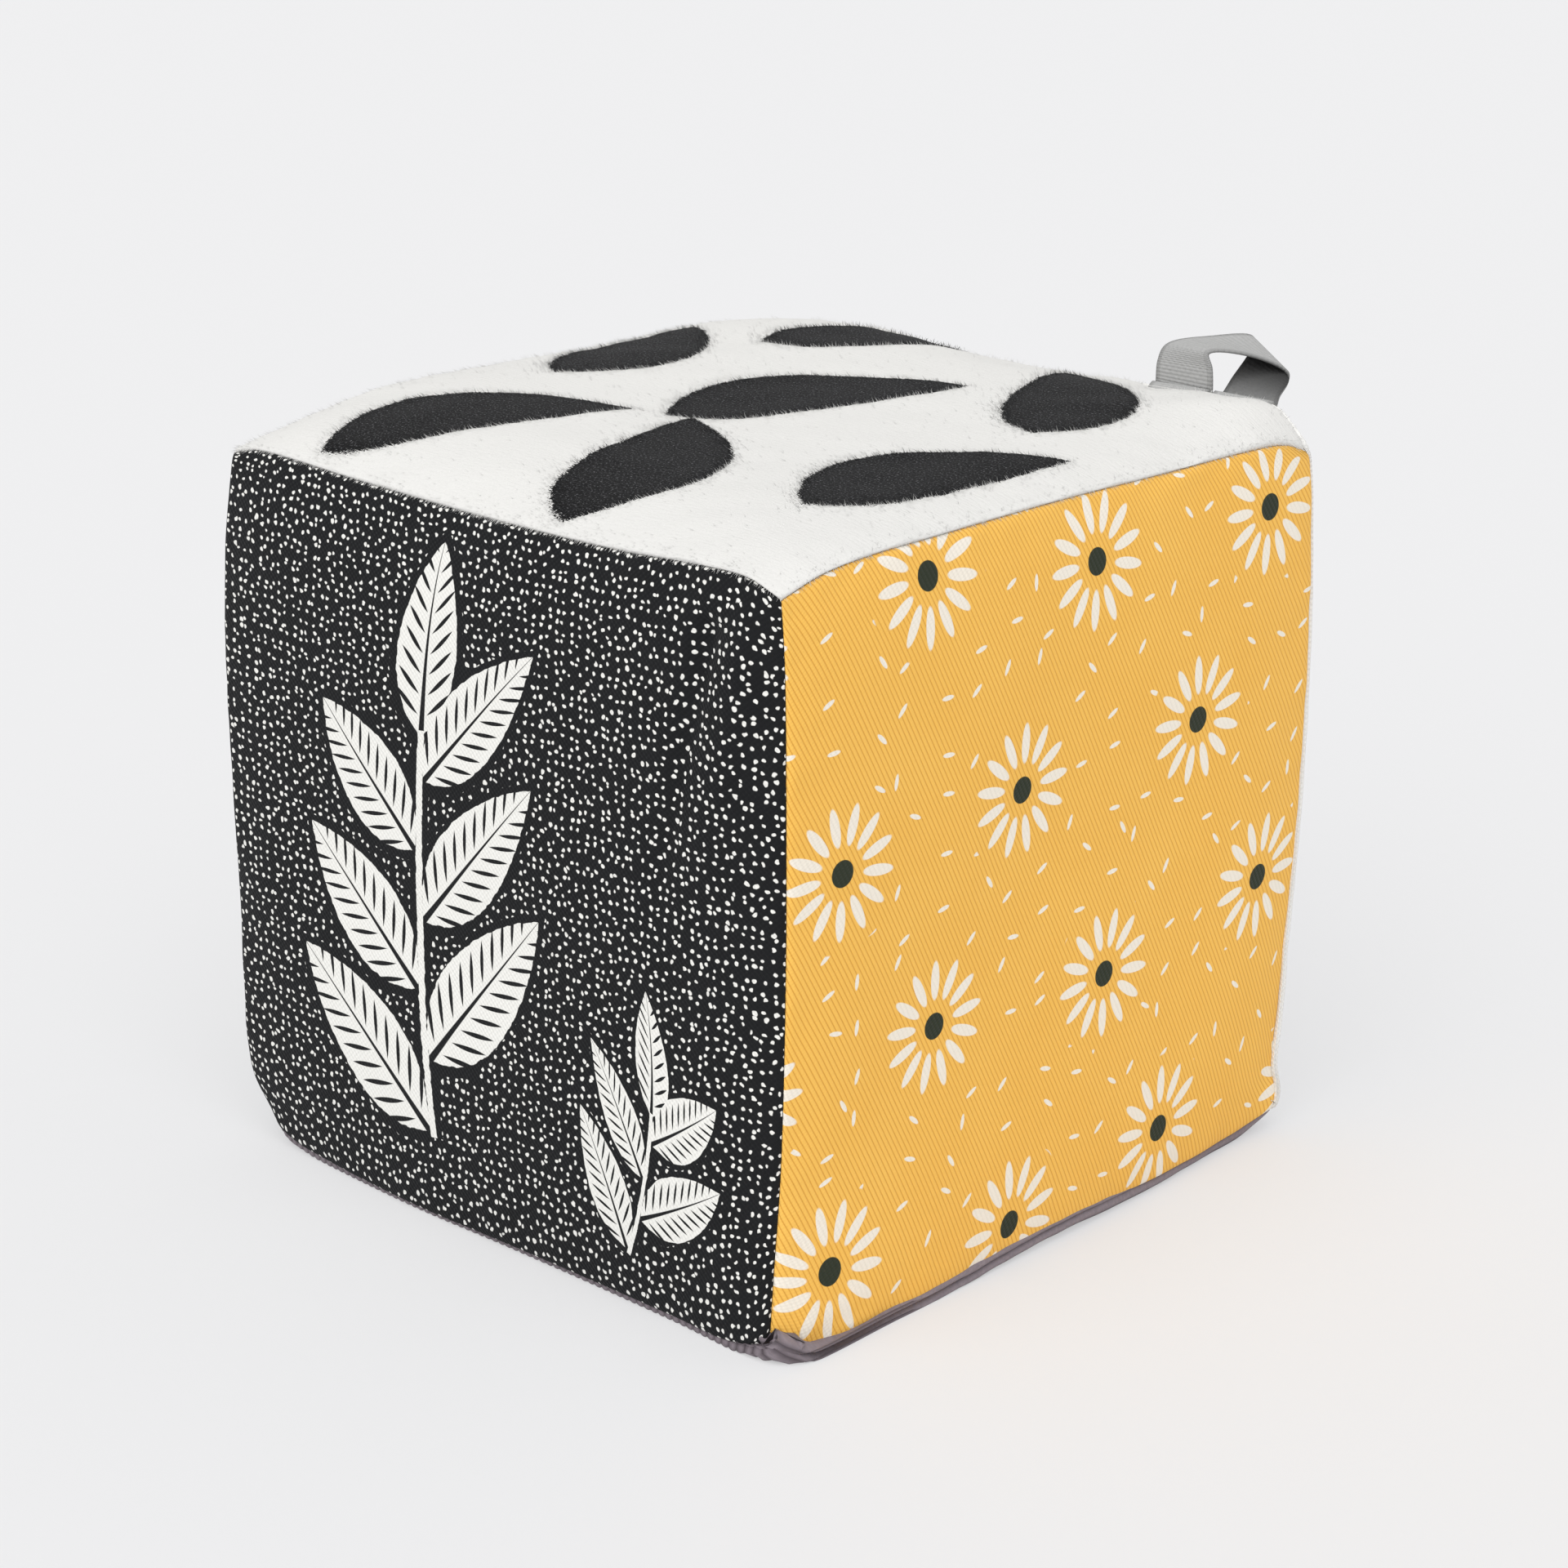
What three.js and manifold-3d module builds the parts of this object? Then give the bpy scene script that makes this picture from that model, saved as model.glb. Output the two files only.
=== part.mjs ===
// A soft fabric block for a baby: six squares of cloth sewn along twelve edges round a cube of foam,
// with a loop of tape caught in the seam between the top and the back.
// Millimetres, +Z up. The origin is the middle of the flat underside, and the front faces -Y.

import * as THREE from 'three';
import { mergeVertices } from 'three/addons/utils/BufferGeometryUtils.js';
import Module from 'manifold-3d';

const wasm = await Module();
wasm.setup();

// The block, measured from seam to seam.
const side = 130;
const seamHeight = 127.6;
const cornerPull = 2.2;
const cornerPullPower = 10;

// How the cloth is sewn.
const allowance = 6.4;
const fit = 0.3;
const seamGap = 0.3;

// How the block rests: the lower seams stand this high, and the underside is pressed flat.
const seamLift = 3.6;
const pressedFlat = 0.5;

// Cloth: how thick it lies, how thick its seam allowance is once pressed, how far it swells past
// the seams, and how sharply that swell falls to them.
const plush = { cloth: 2.5, ply: 1, crown: 4.5, rollPower: 7 };
const speckled = { cloth: 0.9, ply: 0.9, crown: 3.4, rollPower: 6 };
const twill = { cloth: 1, ply: 1, crown: 3.4, rollPower: 6 };
const printed = { cloth: 0.8, ply: 0.8, crown: 3.4, rollPower: 6 };
const plain = { cloth: 0.8, ply: 0.8, crown: 3.4, rollPower: 6 };
const corduroy = { cloth: 1.6, ply: 1, crown: seamLift + pressedFlat, rollPower: 10 };

// The tape of the loop. Its two ends lie beside each other in the seam, the first of them with its
// middle this far from the right corner.
const tapeWidth = 12.5;
const tapeThickness = 0.6;
const tapeFromCorner = 28;
const tapeEndGap = 1.5;
const loopRise = 9.4;
const loopReach = 17.4;
const rootStart = 0.3;
const rootBend = 2.4;

// How finely the surfaces are divided, and how far a computed point may be from where it should be.
const mainCells = 9;
const loopSteps = 30;
const rounding = 1e-6;

// Places that follow from the sizes above.
const half = { x: side / 2, y: side / 2, z: seamHeight / 2 };
const middleZ = seamLift + half.z;
const foamBevel = Math.SQRT2 * (allowance + fit) + cornerPull;
const bevelShares = { 2: 1 / 2, 3: 2 / 3 };
const rollShares = [0.72, 0.44];
const edgeInset = seamGap / Math.SQRT2;
const tapeFirstX = half.x - tapeFromCorner;
const tapeStep = tapeWidth + tapeEndGap;

// The seam that holds the tape runs along X at the top and back edge.
const seam = { y: half.y, z: middleZ + half.z };

// The cloths, the foam and the tape are all matt.
const matt = (hex) => new THREE.MeshStandardMaterial({ color: hex, roughness: 0.9, metalness: 0 });

// Each panel's own axes: across and up its face, and out of it.
const panels = [
  { name: 'top_panel', across: 'x', up: 'y', out: 'z', sign: 1, cloth: plush, look: matt(0xf0f0ee) },
  { name: 'bottom_panel', across: 'x', up: 'y', out: 'z', sign: -1, cloth: corduroy, look: matt(0x6f676c) },
  { name: 'front_panel', across: 'x', up: 'z', out: 'y', sign: -1, cloth: speckled, look: matt(0x202322) },
  { name: 'back_panel', across: 'x', up: 'z', out: 'y', sign: 1, cloth: printed, look: matt(0xefefed) },
  { name: 'right_panel', across: 'y', up: 'z', out: 'x', sign: 1, cloth: twill, look: matt(0xedb95a) },
  { name: 'left_panel', across: 'y', up: 'z', out: 'x', sign: -1, cloth: plain, look: matt(0x8d9290) },
];

// A seam runs straight and dips in towards the middle of the block near its corners.
function pull(along) {
  return cornerPull * Math.abs(along) ** cornerPullPower;
}

// The height of a panel's face over the middle of the block. u and v run from -1 to 1 across it.
function faceHeight(panel, u, v) {
  const { crown, rollPower } = panel.cloth;
  const swell = crown * (1 - Math.abs(u) ** rollPower) * (1 - Math.abs(v) ** rollPower);
  const dip = pull(v) * u * u + pull(u) * v * v - cornerPull * u * u * v * v;
  const top = half[panel.out] - dip + swell;
  const resting = panel.out === 'z' && panel.sign < 0;
  return resting ? Math.min(top, middleZ) : top;
}

// A point of a panel's face, as distances across it, up it and out of it.
function facePoint(panel, u, v) {
  const a = u * (half[panel.across] - edgeInset - pull(v));
  const b = v * (half[panel.up] - edgeInset - pull(u));
  return [a, b, faceHeight(panel, u, v)];
}

// Turns distances across, up and out of a panel into a place in the block.
function place(panel, [a, b, out]) {
  const point = { x: 0, y: 0, z: middleZ };
  point[panel.across] += a;
  point[panel.up] += b;
  point[panel.out] += panel.sign * out;
  return [point.x, point.y, point.z];
}

// Grid lines from one seam to the other: even ones over the flat of the face, then closer
// ones, because the cloth rolls down to its seam there.
function gridLines(halfSize) {
  const flat = 1 - foamBevel / halfSize;
  const roll = rollShares.map((share) => 1 - share * (foamBevel / halfSize));
  const lines = [];
  for (let i = 0; i <= mainCells; i++) lines.push(flat * ((2 * i) / mainCells - 1));
  return [-1, ...roll.map((line) => -line).reverse(), ...lines, ...roll, 1];
}

// Builds one closed solid from a sheet of grid cells with an outer and an inner point at each
// knot. Where a cell has no neighbour, a wall closes the edge between the two layers.
function sheetSolid(cells, outer, inner, flipped) {
  const index = new Map();
  const positions = [];
  const faces = [];
  const knot = (layer, i, j) => {
    const key = `${layer} ${i} ${j}`;
    if (!index.has(key)) {
      index.set(key, positions.length / 3);
      positions.push(...(layer === 'outer' ? outer(i, j) : inner(i, j)));
    }
    return index.get(key);
  };
  const quad = (a, b, c, d) => faces.push(...(flipped ? [a, c, b, a, d, c] : [a, b, c, a, c, d]));
  const taken = new Set(cells.map(([i, j]) => `${i} ${j}`));
  for (const [i, j] of cells) {
    const corners = [[i, j], [i + 1, j], [i + 1, j + 1], [i, j + 1]];
    quad(...corners.map(([k, l]) => knot('outer', k, l)));
    quad(...corners.reverse().map(([k, l]) => knot('inner', k, l)));
    const beside = [[i, j - 1], [i + 1, j], [i, j + 1], [i - 1, j]];
    const ends = [[[i, j], [i + 1, j]], [[i + 1, j], [i + 1, j + 1]],
      [[i + 1, j + 1], [i, j + 1]], [[i, j + 1], [i, j]]];
    beside.forEach(([k, l], n) => {
      if (taken.has(`${k} ${l}`)) return;
      const [from, to] = ends[n];
      quad(knot('outer', ...to), knot('outer', ...from), knot('inner', ...from), knot('inner', ...to));
    });
  }
  const geometry = new THREE.BufferGeometry();
  geometry.setAttribute('position', new THREE.Float32BufferAttribute(positions, 3));
  geometry.setIndex(faces);
  return geometry;
}

// A panel is a square of cloth with its four seam allowances folded in along the diagonal
// between it and its neighbour. The allowances stop short of the corners, where they are clipped.
function panelGeometry(panel) {
  const { cloth, ply } = panel.cloth;
  const across = gridLines(half[panel.across]);
  const up = gridLines(half[panel.up]);
  const last = [across.length - 1, up.length - 1];
  const foldReach = cloth + Math.SQRT2 * ply;
  const within = (n, end) => Math.min(Math.max(n, 0), end);
  const sides = (i, j) => [Math.sign(i - within(i, last[0])), Math.sign(j - within(j, last[1]))];
  const at = (i, j) => [across[within(i, last[0])], up[within(j, last[1])]];
  const tipStep = allowance / Math.SQRT2;
  const plyStep = ply / Math.SQRT2;
  const tip = (i, j, thick) => {
    const [s, t] = sides(i, j);
    const [a, b, out] = facePoint(panel, ...at(i, j));
    const inward = tipStep + (thick ? plyStep : 0);
    return [a - s * inward, b - t * inward, out - tipStep + (thick ? plyStep : 0)];
  };
  const isTip = (i, j) => sides(i, j).some((s) => s !== 0);
  const outer = (i, j) => place(panel, isTip(i, j) ? tip(i, j, false) : facePoint(panel, ...at(i, j)));
  const inner = (i, j) => {
    if (isTip(i, j)) return place(panel, tip(i, j, true));
    const [u, v] = at(i, j);
    const shrink = (w, size) => (Math.abs(w) === 1 ? w * (1 - foldReach / size) : w);
    const [a, b, out] = facePoint(panel, shrink(u, half[panel.across]), shrink(v, half[panel.up]));
    return place(panel, [a, b, out - cloth]);
  };
  const cells = [];
  for (let i = -1; i <= last[0]; i++) {
    for (let j = -1; j <= last[1]; j++) {
      const onFace = i >= 0 && i < last[0] && j >= 0 && j < last[1];
      const alongI = i >= 1 && i < last[0] - 1;
      const alongJ = j >= 1 && j < last[1] - 1;
      const onFlap = (alongI && (j === -1 || j === last[1])) || (alongJ && (i === -1 || i === last[0]));
      if (onFace || onFlap) cells.push([i, j]);
    }
  }
  const mirrored = (panel.out === 'y') !== (panel.sign < 0);
  return sheetSolid(cells, outer, inner, mirrored);
}

// The foam follows the inside of every panel, and its edges are bevelled to leave room for the
// seam allowances.
function foamGeometry() {
  const cells = mainCells + 2;
  const box = new THREE.BoxGeometry(2, 2, 2, cells, cells, cells);
  const flat = 1 - 2 / cells;
  const points = box.getAttribute('position');
  const faceOf = (axis, sign) => panels.find((panel) => panel.out === axis && panel.sign === sign);
  for (let n = 0; n < points.count; n++) {
    const unit = { x: points.getX(n), y: points.getY(n), z: points.getZ(n) };
    const edges = ['x', 'y', 'z'].filter((axis) => Math.abs(unit[axis]) > 1 - rounding);
    const spot = {};
    for (const axis of ['x', 'y', 'z']) spot[axis] = (unit[axis] / flat) * (half[axis] - foamBevel);
    if (edges.length === 1) {
      const panel = faceOf(edges[0], Math.sign(unit[edges[0]]));
      const u = spot[panel.across] / half[panel.across];
      const v = spot[panel.up] / half[panel.up];
      spot[panel.out] = panel.sign * (faceHeight(panel, u, v) - panel.cloth.cloth - fit);
    } else {
      const depth = foamBevel * bevelShares[edges.length];
      for (const axis of edges) spot[axis] = Math.sign(unit[axis]) * (half[axis] - depth);
    }
    points.setXYZ(n, spot.x, spot.y, spot.z + middleZ);
  }
  return box;
}

// The tape lies between a left and a right edge, each a list of places along it.
function tapeStrip(left, right) {
  const positions = [];
  const faces = [];
  left.forEach((from, n) => {
    const to = right[n];
    const before = Math.max(n - 1, 0);
    const after = Math.min(n + 1, left.length - 1);
    const along = left[after].clone().add(right[after]).sub(left[before]).sub(right[before]);
    const lift = along.cross(to.clone().sub(from)).setLength(tapeThickness / 2);
    for (const edge of [from, to]) positions.push(...edge.clone().sub(lift).toArray());
    for (const edge of [to, from]) positions.push(...edge.clone().add(lift).toArray());
  });
  const ring = (n, k) => 4 * n + (k % 4);
  for (let n = 0; n + 1 < left.length; n++) {
    for (let k = 0; k < 4; k++) {
      faces.push(ring(n, k), ring(n, k + 1), ring(n + 1, k + 1));
      faces.push(ring(n, k), ring(n + 1, k + 1), ring(n + 1, k));
    }
  }
  const end = left.length - 1;
  faces.push(ring(0, 0), ring(0, 2), ring(0, 1), ring(0, 0), ring(0, 3), ring(0, 2));
  faces.push(ring(end, 0), ring(end, 1), ring(end, 2), ring(end, 0), ring(end, 2), ring(end, 3));
  const geometry = new THREE.BufferGeometry();
  geometry.setAttribute('position', new THREE.Float32BufferAttribute(positions, 3));
  geometry.setIndex(faces);
  return geometry;
}

// A place given by its X and its distances behind and over the seam.
function fromSeam(x, behind, over) {
  return new THREE.Vector3(x, seam.y + behind, seam.z + over);
}

// One edge of the loop. It leaves the seam along the diagonal, goes through its knots, whose
// shares are of the step to the second end, the reach and the rise, and comes home beside itself.
function loopEdge(startX, knotShares) {
  const root = rootStart / Math.SQRT2;
  const bend = rootBend / Math.SQRT2;
  const knots = [fromSeam(startX, root, root), fromSeam(startX, bend, bend)];
  for (const [stepShare, reachShare, riseShare] of knotShares) {
    knots.push(fromSeam(startX + stepShare * tapeStep, reachShare * loopReach, riseShare * loopRise));
  }
  knots.push(fromSeam(startX + tapeStep, bend, bend), fromSeam(startX + tapeStep, root, root));
  return knots;
}

// The loop rises, folds back over the seam, turns down at its crease and comes home underneath.
// Its right edge hangs lower than its left at the crease.
const leftKnotShares = [
  [0.01, 0.12, 0.64],
  [0.05, 0.2, 0.91],
  [0.35, 0.62, 1.01],
  [0.65, 0.98, 0.98],
  [0.69, 0.97, 0.84],
  [0.82, 0.52, 0.38],
];
const rightKnotShares = [
  [-0.01, 0.1, 0.7],
  [-0.08, 0.11, 0.98],
  [0.18, 0.5, 0.89],
  [0.45, 0.86, 0.52],
  [0.5, 0.85, 0.4],
  [0.74, 0.45, 0.26],
];

function loopGeometry() {
  const start = tapeFirstX - tapeWidth / 2;
  const edges = [loopEdge(start, leftKnotShares), loopEdge(start + tapeWidth, rightKnotShares)];
  const [left, right] = edges.map((knots) => {
    const curve = new THREE.CatmullRomCurve3(knots);
    return Array.from({ length: loopSteps + 1 }, (_, n) => curve.getPoint(n / loopSteps));
  });
  return tapeStrip(left, right);
}

// A sewn-in end of the tape, between the seam allowances of the top and the back.
function tapeEndGeometry(x) {
  const [top, bottom] = [-rootStart / Math.SQRT2, -allowance / Math.SQRT2];
  const edge = (edgeX) => [fromSeam(edgeX, bottom, bottom), fromSeam(edgeX, top, top)];
  return tapeStrip(edge(x), edge(x + tapeWidth));
}

// Joining and cutting solids.
function solidOf(geometry) {
  const plainGeometry = geometry.clone();
  plainGeometry.deleteAttribute('normal');
  plainGeometry.deleteAttribute('uv');
  const merged = mergeVertices(plainGeometry);
  const mesh = new wasm.Mesh({
    numProp: 3,
    vertProperties: new Float32Array(merged.getAttribute('position').array),
    triVerts: new Uint32Array(merged.getIndex().array),
  });
  return new wasm.Manifold(mesh);
}

function geometryOf(solid) {
  const mesh = solid.getMesh();
  const geometry = new THREE.BufferGeometry();
  geometry.setAttribute('position', new THREE.Float32BufferAttribute(mesh.vertProperties, 3));
  geometry.setIndex(Array.from(mesh.triVerts));
  return geometry;
}

// The room that the two ends of the tape press into the allowances on either side of them.
function tapeBed() {
  const from = tapeFirstX - tapeWidth / 2 - fit;
  const to = tapeFirstX + tapeStep + tapeWidth / 2 + fit;
  const depth = allowance + fit;
  const overrun = allowance;
  const bed = new THREE.BoxGeometry(to - from, tapeThickness + 2 * fit, depth + overrun);
  bed.translate(0, 0, (overrun - depth) / 2);
  bed.rotateX(-Math.PI / 4);
  bed.translate((from + to) / 2, seam.y, seam.z);
  return bed;
}

const block = new THREE.Group();

function add(name, geometry, material) {
  const mesh = new THREE.Mesh(geometry, material);
  mesh.name = name;
  block.add(mesh);
}

for (const panel of panels) {
  const geometry = panelGeometry(panel);
  const holdsTape = panel.name === 'top_panel' || panel.name === 'back_panel';
  const finished = holdsTape ? geometryOf(solidOf(geometry).subtract(solidOf(tapeBed()))) : geometry;
  add(panel.name, finished, panel.look);
}

add('foam_core', geometryOf(solidOf(foamGeometry())), matt(0xe9e2c8));

const tapeLook = matt(0xa9acab);
add('ribbon_loop', loopGeometry(), tapeLook);
add('ribbon_end_left', tapeEndGeometry(tapeFirstX - tapeWidth / 2), tapeLook);
add('ribbon_end_right', tapeEndGeometry(tapeFirstX + tapeStep - tapeWidth / 2), tapeLook);

export default block;
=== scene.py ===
# %% [markdown]
# # A soft fabric block
# A baby's block: a cube of foam in a cover of six squares, each of another cloth, with a loop of
# tape caught in one seam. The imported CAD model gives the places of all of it, so this lesson
# loads it first and then builds the fine cloth over it.

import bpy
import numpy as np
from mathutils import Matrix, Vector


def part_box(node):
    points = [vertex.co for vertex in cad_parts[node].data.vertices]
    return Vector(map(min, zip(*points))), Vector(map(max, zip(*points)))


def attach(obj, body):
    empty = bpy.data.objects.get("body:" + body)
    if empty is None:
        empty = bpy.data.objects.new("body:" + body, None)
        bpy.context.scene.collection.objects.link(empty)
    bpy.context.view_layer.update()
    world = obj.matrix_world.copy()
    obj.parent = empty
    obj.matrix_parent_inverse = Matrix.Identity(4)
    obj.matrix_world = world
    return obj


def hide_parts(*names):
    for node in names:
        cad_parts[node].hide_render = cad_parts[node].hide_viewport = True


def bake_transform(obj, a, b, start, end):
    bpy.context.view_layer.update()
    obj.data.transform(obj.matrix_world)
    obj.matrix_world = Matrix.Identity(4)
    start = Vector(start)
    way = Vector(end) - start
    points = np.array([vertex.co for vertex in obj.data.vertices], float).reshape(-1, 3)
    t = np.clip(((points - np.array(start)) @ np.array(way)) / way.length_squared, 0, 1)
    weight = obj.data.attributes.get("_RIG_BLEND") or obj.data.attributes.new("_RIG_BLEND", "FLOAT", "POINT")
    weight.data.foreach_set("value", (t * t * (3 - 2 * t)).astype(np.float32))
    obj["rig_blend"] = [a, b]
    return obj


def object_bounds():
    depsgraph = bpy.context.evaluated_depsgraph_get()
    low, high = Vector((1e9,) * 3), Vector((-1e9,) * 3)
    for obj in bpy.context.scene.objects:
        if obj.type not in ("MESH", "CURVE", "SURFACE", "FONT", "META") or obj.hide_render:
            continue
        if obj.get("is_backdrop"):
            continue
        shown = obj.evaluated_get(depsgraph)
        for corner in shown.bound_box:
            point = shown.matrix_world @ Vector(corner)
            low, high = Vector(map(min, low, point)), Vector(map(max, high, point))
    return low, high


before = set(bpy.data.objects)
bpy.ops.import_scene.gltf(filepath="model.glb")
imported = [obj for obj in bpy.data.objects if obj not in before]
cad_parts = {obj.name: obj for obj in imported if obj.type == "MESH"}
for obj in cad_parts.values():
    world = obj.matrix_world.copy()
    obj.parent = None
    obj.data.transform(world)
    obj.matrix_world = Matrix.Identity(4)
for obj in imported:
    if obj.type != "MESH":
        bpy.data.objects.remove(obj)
cad_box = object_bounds()

# %% [markdown]
# Blender works in metres, and cloth is thought of in millimetres. One named unit keeps every size
# below readable.

# %% Units and imports
import bisect
import functools
import math

import bmesh
import bpy
from mathutils import Matrix, Vector, noise

MM = 0.001


# %% [markdown]
# The camera stands where the photographer's stood: in front of the near vertical edge, a little
# above the block, with a long lens, so that the edges hardly converge. Its place comes from a fit
# of the block's eight corners to the photograph.

# %% Camera
EYE = Vector((0.50170, -0.52108, 0.32247))
AZIMUTH, ELEVATION, ROLL = math.radians(43.710), math.radians(19.450), math.radians(0.153)
LENS_MM, SENSOR_MM = 99.75, 36.0


def put(name, data):
    """Puts a new object into the scene."""
    thing = bpy.data.objects.new(name, data)
    bpy.context.scene.collection.objects.link(thing)
    return thing


def make_camera():
    """The camera turns to its azimuth, tips down by its elevation and rolls a touch."""
    data = bpy.data.cameras.new("camera")
    data.lens, data.sensor_width = LENS_MM, SENSOR_MM
    data.clip_start = 10 * MM
    camera = put("camera", data)
    turn = Matrix.Rotation(AZIMUTH, 4, "Z") @ Matrix.Rotation(math.pi / 2 - ELEVATION, 4, "X")
    camera.matrix_world = Matrix.Translation(EYE) @ turn @ Matrix.Rotation(ROLL, 4, "Z")
    bpy.context.scene.camera = camera
    return camera


camera = make_camera()
print("camera at", [round(x, 3) for x in camera.location])

# %% [markdown]
# Materials are node trees. One helper turns the hex colours that designers write, which are
# sRGB, into the linear numbers that Blender's nodes expect. Another adds a node with its settings
# and links, and hands back its first output. It serves shaders and geometry nodes alike.


# %% Colour and node helpers
def rgb(hex_colour):
    """An sRGB hex colour as linear red, green, blue and alpha."""
    parts = [int(hex_colour[i : i + 2], 16) / 255 for i in (1, 3, 5)]
    return [p / 12.92 if p <= 0.04045 else ((p + 0.055) / 1.055) ** 2.4 for p in parts] + [1]


def add(tree, kind, inputs=(), operation=None, **settings):
    """Adds a node. inputs are sockets or values, in order or by name, and None skips one."""
    node = tree.nodes.new(kind if "Node" in kind else "ShaderNode" + kind)
    if operation:
        node.operation = operation
    for name, value in settings.items():
        setattr(node, name, value)
    if isinstance(inputs, dict):
        pairs = [(node.inputs[name], value) for name, value in inputs.items()]
    else:
        pairs = zip([s for s in node.inputs if s.enabled], inputs)
    for socket, value in pairs:
        if isinstance(value, bpy.types.NodeSocket):
            tree.links.new(value, socket)
        elif value is not None:
            is_colour = isinstance(value, str) and value.startswith("#")
            socket.default_value = rgb(value) if is_colour else value
    return next((s for s in node.outputs if s.enabled), None)


def new_material(name):
    """An empty node tree under a material's name."""
    material = bpy.data.materials.new(name)
    material.use_nodes = True
    material.node_tree.nodes.clear()
    return material, material.node_tree


print("middle grey #808080 in linear light:", round(rgb("#808080")[0], 3))


# %% [markdown]
# The stage is a plain pale sweep. The floor is one big sheet of matt board. It is so wide that the
# camera never sees its edge, and a background of the same pale grey closes the other views. The
# photograph's sweep glows a little from below, which thins the shadows on it, so the camera sees
# a share of that glow. It lights nothing else.

# %% Floor
FLOOR_COLOUR, GLOW_COLOUR, GLOW_SHARE = "#E6E6E7", "#EFEFF0", 0.55
FLOOR_HALF_WIDTH = 4.0


def matt_board():
    """Matt painted board: it shows nothing but a soft shadow."""
    material, tree = new_material("matt_board")
    board = add(tree, "BsdfPrincipled", {"Base Color": FLOOR_COLOUR, "Roughness": 0.9})
    glow = add(tree, "Emission", [GLOW_COLOUR, 1.0])
    camera_ray = add(tree, "LightPath").node.outputs["Is Camera Ray"]
    share = add(tree, "Math", [camera_ray, GLOW_SHARE], "MULTIPLY")
    add(tree, "OutputMaterial", [add(tree, "MixShader", [share, board, glow])])
    return material


def mesh_of(bm, name, smooth=False):
    """The mesh of a bmesh, which is let go."""
    mesh = bpy.data.meshes.new(name)
    bm.to_mesh(mesh)
    bm.free()
    if smooth:
        mesh.shade_smooth()
    return mesh


def make_floor():
    bm = bmesh.new()
    bmesh.ops.create_grid(bm, x_segments=1, y_segments=1, size=FLOOR_HALF_WIDTH)
    floor = put("floor", mesh_of(bm, "floor"))
    floor.data.materials.append(matt_board())
    floor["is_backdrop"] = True


make_floor()
print("floor:", 2 * FLOOR_HALF_WIDTH, "m wide")

# %% [markdown]
# The light is that of a white studio: it comes from everywhere, with one large soft source in
# front and a little to the left. An even world and a sun with a wide disc give that, and a sun
# keeps the floor evenly bright, which a nearby softbox would not.

# %% Light
SKY_STRENGTH = 0.65
SUN_STRENGTH = 1.75
SUN_DISC = math.radians(70)
SUN_AZIMUTH, SUN_ELEVATION = math.radians(27), math.radians(53)


def light_world():
    """Soft light from all round. Cameras and reflections see the pale background instead."""
    world = bpy.data.worlds.new("studio")
    bpy.context.scene.world = world
    world.use_nodes = True
    tree = world.node_tree
    tree.nodes.clear()
    light = add(tree, "Background", ["#FFFFFF", SKY_STRENGTH])
    seen = add(tree, "Background", [GLOW_COLOUR, 1.0])
    path = add(tree, "LightPath").node.outputs
    mirrored = add(tree, "Math", [path["Is Glossy Ray"], path["Is Transmission Ray"]], "MAXIMUM")
    shown = add(tree, "Math", [path["Is Camera Ray"], mirrored], "MAXIMUM")
    add(tree, "OutputWorld", [add(tree, "MixShader", [shown, light, seen])])


def light_sun():
    data = bpy.data.lights.new("softbox", "SUN")
    data.energy, data.angle = SUN_STRENGTH, SUN_DISC
    lamp = put("softbox", data)
    tip = Matrix.Rotation(math.pi / 2 - SUN_ELEVATION, 4, "X")
    lamp.matrix_world = Matrix.Rotation(SUN_AZIMUTH, 4, "Z") @ tip


light_world()
light_sun()
bpy.context.scene.view_settings.view_transform = "Standard"
print("strengths: sky", SKY_STRENGTH, "and sun", SUN_STRENGTH)

# %% [markdown]
# The block's measures are read from the frame, so the fine cloth lies where the CAD panels lie.
# Each panel stops a hair short of its seam, and adding that hair back gives the seam itself.

# %% The block's measures
CAD_GAP, SEWN_GAP = 0.3 * MM, 0.1 * MM
EDGE_INSET = SEWN_GAP / math.sqrt(2)
ALLOWANCE = 6.4 * MM

front_low, front_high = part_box("front_panel")
right_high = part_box("right_panel")[1]
HALF = Vector((front_high.x, right_high.y, (front_high.z - front_low.z) / 2))
HALF += Vector([CAD_GAP / math.sqrt(2)] * 3)
MIDDLE = Vector((0, 0, (front_high.z + front_low.z) / 2))
print("half sizes in mm:", [round(x / MM, 2) for x in HALF], "middle:", round(MIDDLE.z / MM, 2))

# %% [markdown]
# Every panel is the same idea, a square of cloth that swells over the foam and falls to its
# seams, so one table holds what differs: which axes it spans, how thick the cloth and its folded
# allowance are, how far it swells, and how sharply it falls at the edges. Thick cloth also rolls
# out past its seams. The corduroy does so most on the right, and at the near corner, like a toe.

# %% The six panels
X, Y, Z = 0, 1, 2
PANEL_TABLE = (
    ("name", "spans", "sign", "thick", "ply", "crown", "power"),
    ("top", (X, Y, Z), 1, 2.2, 1.0, 4.5, 7),
    ("front", (X, Z, Y), -1, 0.9, 0.9, 3.4, 6),
    ("right", (Y, Z, X), 1, 1.0, 1.0, 3.4, 6),
    ("back", (X, Z, Y), 1, 0.8, 0.8, 3.4, 6),
    ("left", (Y, Z, X), -1, 0.8, 0.8, 3.4, 6),
    ("bottom", (X, Y, Z), -1, 1.6, 1.0, 4.1, 26),
)
PANELS = {row[0]: dict(zip(PANEL_TABLE[0], row)) for row in PANEL_TABLE[1:]}
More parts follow.
